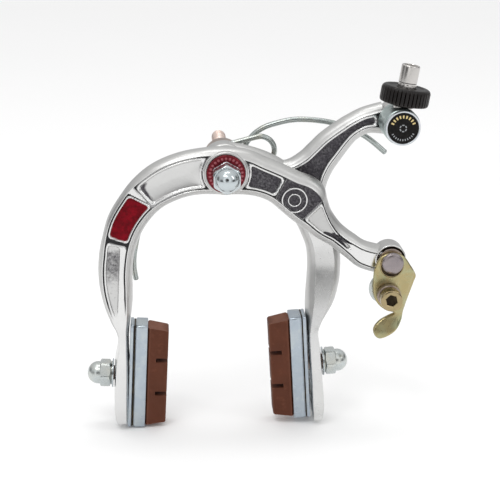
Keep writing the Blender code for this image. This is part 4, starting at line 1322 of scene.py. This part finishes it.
lever_plate()
lever_rivet()
clamp_bolt()
turned("clamp_collar_ring", [(3.0, 33.45), (4.6, 33.45), (4.6, 36.2), (3.0, 36.2)],
       CLAMP, BRONZE, "quick_release", ["cable_clamp_collar"], "yellow_chromate", soft=0.3)
clamp_washer()
hex_nut("clamp_hex_nut", flats=8.0, bottom=25.6, top=29.6, bore=2.9, centre=CLAMP,
        body="quick_release", nodes=["cable_clamp_nut"])

# ================================================================ brake shoes
HOLDER_HALF_LENGTH = 22.0
HOLDER_HALF_WIDTH = 5.2
HOLDER_TOP = 7.1
RUBBER_HALF_LENGTH = 20.9
RUBBER_TOP = 15.4
RUBBER_LIP = 7.55                # height where it swells over the holder
NOTCHES = (7.2, -7.2)            # places of the cross notches along the rubber
NOTCH_HALF = 0.9
NOTCH_FLOOR = 10.7


def shoe_frame(side, sign):
    """Stud origin, axis towards the rim, and a function placing points on the shoe.

    The function takes distances along the shoe, across it (y) and towards the rim.
    """
    joint = JOINT[side + "_shoe_turn"]
    stud = joint_origin(joint)
    inward = np.array(joint["axis"], float)
    if inward[0] * sign < 0:
        inward = -inward
    up = np.array([0, 0, 1.0])
    along = up - inward * (up @ inward)
    along /= np.linalg.norm(along)
    width = np.array([0.0, 1.0, 0.0])
    centre = stud + along * (0.4 * sign)

    def place(length, across, height):
        return centre + along * length + width * across + inward * height

    return stud, inward, place


def holder_ring(place, height, end_inset, side_inset, radius):
    """A rounded rectangle, set in from the holder's outline."""
    half = HOLDER_HALF_LENGTH - end_inset
    wide = HOLDER_HALF_WIDTH - side_inset
    points = []
    for length, across, start in ((half - radius, wide - radius, 0),
                                  (-(half - radius), wide - radius, 90),
                                  (-(half - radius), -(wide - radius), 180),
                                  (half - radius, -(wide - radius), 270)):
        for k in range(7):
            a = math.radians(start + 90 * k / 6)
            points.append(place(length + radius * math.cos(a), across + radius * math.sin(a),
                                height))
    return np.array(points)


def shoe_holder(side, place, groove, lift):
    """Tray and back flange. groove is the depth of the gap between them, lift the flange's."""
    # height, inset at the ends, inset at the sides, corner radius
    rows = [
        (2.6, 1.35, 1.35, 0.6), (HOLDER_TOP - 0.25, 1.25, 1.25, 0.6), (HOLDER_TOP, 1.1, 1.1, 0.7),
        (HOLDER_TOP, 0.3, 0.3, 0.9), (HOLDER_TOP - 0.12, 0.1, 0.1, 1.0),
        (HOLDER_TOP - 0.35, 0, 0, 1.0), (2.8, 0, 0, 1.0), (2.62, 0.08, 0.08, 1.0),
        (2.5, 0.4 * groove, 0.8 * groove, 0.9), (2.3, 0.6 * groove, groove, 0.8),
        (1.7, 0.6 * groove, groove, 0.8), (1.5, 0.4 * groove, 0.7 * groove, 0.9),
        (1.4, 0.08, 0.08, 1.0), (1.25, 0, 0, 1.0), (0.45 + lift, 0, 0, 1.0),
        (0.26 + lift, 0.08, 0.08, 1.0), (0.18 + lift, 0.3, 0.3, 0.9),
        (0.16 + lift, 2.5, 2.0, 0.9)]
    build(side + "_shoe_holder", loft([holder_ring(place, *row) for row in rows]), PRESSING,
          side + "_shoe", [side + "_pad_holder"], 40)
    # painted shade: a dark band put in the groove between the tray and the flange
    end_inset, side_inset = 0.55 * groove, (1 - 0.35 * groove) * groove
    rows = [(1.75, 1.5, 1.5, 0.6), (1.72, end_inset, side_inset, 0.8),
            (2.3, end_inset, side_inset, 0.8), (2.27, 1.5, 1.5, 0.6)]
    build(side + "_holder_seam_shade", loft([holder_ring(place, *row) for row in rows]), RECESS_SHADE,
          side + "_shoe", [], 40)


def rubber_stations():
    """Even stations along the rubber, swapped at the notch walls for a pair astride each."""
    even = np.linspace(-RUBBER_HALF_LENGTH, RUBBER_HALF_LENGTH, 260)
    stations = [float(u) for u in even
                if all(abs(abs(u - notch) - NOTCH_HALF) > 0.06 for notch in NOTCHES)]
    stations += [notch + wall for notch in NOTCHES for wall in (-0.92, -0.88, 0.88, 0.92)]
    return sorted(set(stations))


def shoe_rubber(side, place):
    base_half, top_half, lip = 4.65, 4.35, RUBBER_LIP
    rows = []
    for u in rubber_stations():
        notched = any(abs(u - notch) < NOTCH_HALF for notch in NOTCHES)
        if notched:
            top, radius = NOTCH_FLOOR, 0.05
        else:
            end = float(smoothstep(0.0, 0.5, RUBBER_HALF_LENGTH - abs(u)))
            top, radius = RUBBER_TOP - 0.35 * (1 - end), 0.35
        # (height, across) up one side, over the top and down the other
        flank = [(3.6, -3.5), (lip - 0.35, -3.55), (lip - 0.05, -4.3), (lip + 0.25, -base_half),
                 (lip + 1.0, -base_half)]
        flank += [(h, -(base_half + (top_half - base_half) * (h - lip) / (RUBBER_TOP - lip)))
                  for h in np.linspace(lip + 1.5, top - radius - 0.05, 6)]
        flank += [(top - radius * 0.3, -(top_half - radius * 0.3)), (top, -(top_half - radius))]
        flat = (top_half - radius) * 0.8
        outline = flank + [(top, across) for across in np.linspace(-flat, flat, 7)]
        outline += [(h, -across) for h, across in reversed(flank)]
        # the ends lean in towards the rim face
        bias = abs(u / RUBBER_HALF_LENGTH) ** 6
        rows.append([place(u - np.sign(u) * (max(0.0, h - 8.0) * 0.17) * bias, across, h)
                     for h, across in outline])
    build(side + "_shoe_rubber", loft(rows), RUBBER, side + "_shoe", [side + "_pad_rubber"],
          38)


def shoe_stud(side, stud, outward):
    profile = [(0.05, -3.3), (3.6, -3.3), (3.6, -2.9), (3.0, -2.85)]
    profile += threaded_profile(-2.6, 12.0, tip=0.5)
    lathe(side + "_threaded_stud", profile, stud, outward, SCREW, side + "_shoe",
          [side + "_pad_stud"], "bolt_steel", steps=48, closed=False, soft=0,
          shape=thread_shape(0.3, -2.5, 11.6), angle=60)


def split_ring(side, stud, outward, base):
    """One turn of square wire, its ends apart."""
    count = 90
    x, y, z = axes_round(outward)
    wire_section = rounded([(3.4, -0.24), (4.7, -0.24), (4.7, 0.24), (3.4, 0.24)], 0.10)
    rows = []
    for i in range(count):
        a = math.radians(70 + 346 * i / (count - 1))
        shift = 0.12 * (i / (count - 1) - 0.5)
        radial = np.cos(a) * x + np.sin(a) * y
        rows.append([stud + radial * radius + z * (base + 0.52 + h + shift)
                     for radius, h in wire_section])
    build(side + "_split_ring", loft(rows), WIRE, side + "_nut_group",
          [side + "_lock_washer"], 40)


def shoe(side, sign, groove, lift):
    """A shoe and its fasteners. sign is the direction of the rim along x."""
    stud, inward, place = shoe_frame(side, sign)
    nuts = side + "_nut_group"
    shoe_holder(side, place, groove, lift)
    shoe_rubber(side, place)
    shoe_stud(side, stud, -inward)
    washer = np.array(middle(side + "_flat_washer"))
    washer[1] -= SEAT
    base = float((washer - stud) @ -inward)       # the washer's distance outwards
    lathe(side + "_flat_ring",
          [(3.35, base - 0.36), (5.8, base - 0.36), (5.8, base + 0.18), (3.35, base + 0.18)],
          stud, -inward, ZINC, nuts, [side + "_flat_washer"], "zinc_plate", soft=0.14)
    split_ring(side, stud, -inward, base)
    acorn_nut(side + "_dome_nut", stud - inward * (base + 0.86), -inward, hex_height=4.1,
              turn=0.0, material=WORN_ZINC, body=nuts, nodes=[side + "_acorn_nut"])


shoe("left", 1, groove=0.65, lift=0.0)
shoe("right", -1, groove=0.3, lift=0.2)

# ================================================================ stage, light, camera
CAMERA = np.array([-21.66, -475.43 + SEAT, 114.72])
TARGET = np.array([9.1, -29.5 + SEAT, -30.5])
TO_CAMERA = CAMERA - TARGET
LOW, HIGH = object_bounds()
FLOOR_GAP = 0.0004               # metres below the lowest point


def make_floor():
    bm = bmesh.new()
    bmesh.ops.create_grid(bm, x_segments=2, y_segments=2, size=6.0)
    mesh = bpy.data.meshes.new("floor")
    bm.to_mesh(mesh)
    bm.free()
    floor = bpy.data.objects.new("floor", mesh)
    floor.location = (0, 0, LOW[2] - FLOOR_GAP)
    SCENE.collection.objects.link(floor)
    material, shader = new_material("pale_floor")
    colour = shader.mix_colour(shader.noise(3, detail=2), (0.955, 0.955, 0.955),
                               (0.94, 0.94, 0.94))
    shader.surface(colour, roughness=0.9, specular=0.1)
    mesh.materials.append(material)


# Grey of the world by height, 0 straight down and 1 straight up: position, colour
SKY_ENDS = [(0.0, (0.60, 0.60, 0.61, 1)), (1.0, (0.95, 0.95, 0.94, 1))]
SKY_BETWEEN = [(0.48, (0.70, 0.70, 0.71, 1)), (0.54, (0.50, 0.50, 0.51, 1)),
               (0.66, (0.72, 0.72, 0.72, 1)), (0.82, (0.82, 0.82, 0.82, 1))]
# Cones of another grey: direction, inner and outer angle in degrees, grey
SKY_PATCHES = [
    (TO_CAMERA, 26, 44, 1.15),                    # white front round the lens
    ((-0.80, -0.55, 0.05), 8, 20, 0.12),          # dark gaps at the sides
    ((0.85, -0.50, 0.05), 8, 20, 0.12),
    ((-0.95, 0.25, 0.15), 8, 22, 0.20),
    ((0.95, 0.25, 0.15), 8, 22, 0.20),
    (TO_CAMERA + (0, 0, 0.22), 13, 19, 0.03),     # the lens itself
]


def make_world():
    """A studio tent for reflections; diffuse light and the backdrop are even greys."""
    world = bpy.data.worlds.new("studio")
    SCENE.world = world
    world.use_nodes = True
    world.node_tree.nodes.clear()
    shader = Shader(world.node_tree)
    output = shader.add("OutputWorld")
    background = shader.add("Background")
    shader.feed(output.inputs[0], background.outputs[0])
    direction = shader.add("TexCoord").outputs["Generated"]
    split = shader.add("SeparateXYZ")
    shader.feed(split.inputs[0], direction)
    sky = shader.add("ValToRGB")
    shader.feed(sky.inputs[0], shader.remap(split.outputs["Z"], -1, 1))
    for element, (position, colour) in zip(sky.color_ramp.elements, SKY_ENDS):
        element.position = position
        element.color = colour
    for position, colour in SKY_BETWEEN:
        sky.color_ramp.elements.new(position).color = colour
    colour = sky.outputs[0]
    for towards, inner, outer, grey in SKY_PATCHES:
        dot = shader.add("VectorMath", operation="DOT_PRODUCT")
        shader.feed(dot.inputs[0], direction)
        dot.inputs[1].default_value = Vector(towards).normalized()
        patch = shader.remap(dot.outputs["Value"], math.cos(math.radians(outer)),
                             math.cos(math.radians(inner)), curve="SMOOTHSTEP")
        colour = shader.mix_colour(patch, colour, (grey, grey, grey))
    path = shader.add("LightPath")
    colour = shader.mix_colour(path.outputs["Is Diffuse Ray"], colour, (0.95, 0.95, 0.95))
    colour = shader.mix_colour(path.outputs["Is Camera Ray"], colour, (1.0, 1.0, 1.0))
    shader.feed(background.inputs[0], colour)
    background.inputs[1].default_value = 1.0


def area_light(name, place, size, power):
    """A rectangular light turned to the middle of the caliper. Place and size in metres."""
    light = bpy.data.lights.new(name, "AREA")
    light.shape = "RECTANGLE"
    light.size, light.size_y = size
    light.energy = power
    ob = bpy.data.objects.new(name, light)
    ob.location = place
    centre = tuple((a + b) / 2 for a, b in zip(LOW, HIGH))
    ob.rotation_euler = (Vector(centre) - Vector(place)).to_track_quat("-Z", "Y").to_euler()
    SCENE.collection.objects.link(ob)


def make_camera():
    camera = bpy.data.cameras.new("camera")
    camera.sensor_width = 36
    camera.lens = 87.984
    camera.clip_start = 0.01
    ob = bpy.data.objects.new("camera", camera)
    SCENE.collection.objects.link(ob)
    backward = Vector(TO_CAMERA).normalized()
    right = Vector((0, 0, 1)).cross(backward).normalized()
    up = backward.cross(right)
    matrix = Matrix((right, up, backward)).transposed().to_4x4()
    matrix.translation = Vector(CAMERA) * MM
    ob.matrix_world = matrix
    SCENE.camera = ob


make_floor()
make_world()
area_light("key", (-0.25, -0.45, 0.75), size=(0.40, 0.16), power=1.3)
area_light("fill", (0.6, -0.4, 0.45), size=(0.12, 0.4), power=0.4)
area_light("top", (0.0, 0.05, 0.85), size=(0.5, 0.14), power=1.0)
make_camera()
SCENE.view_settings.view_transform = "Standard"
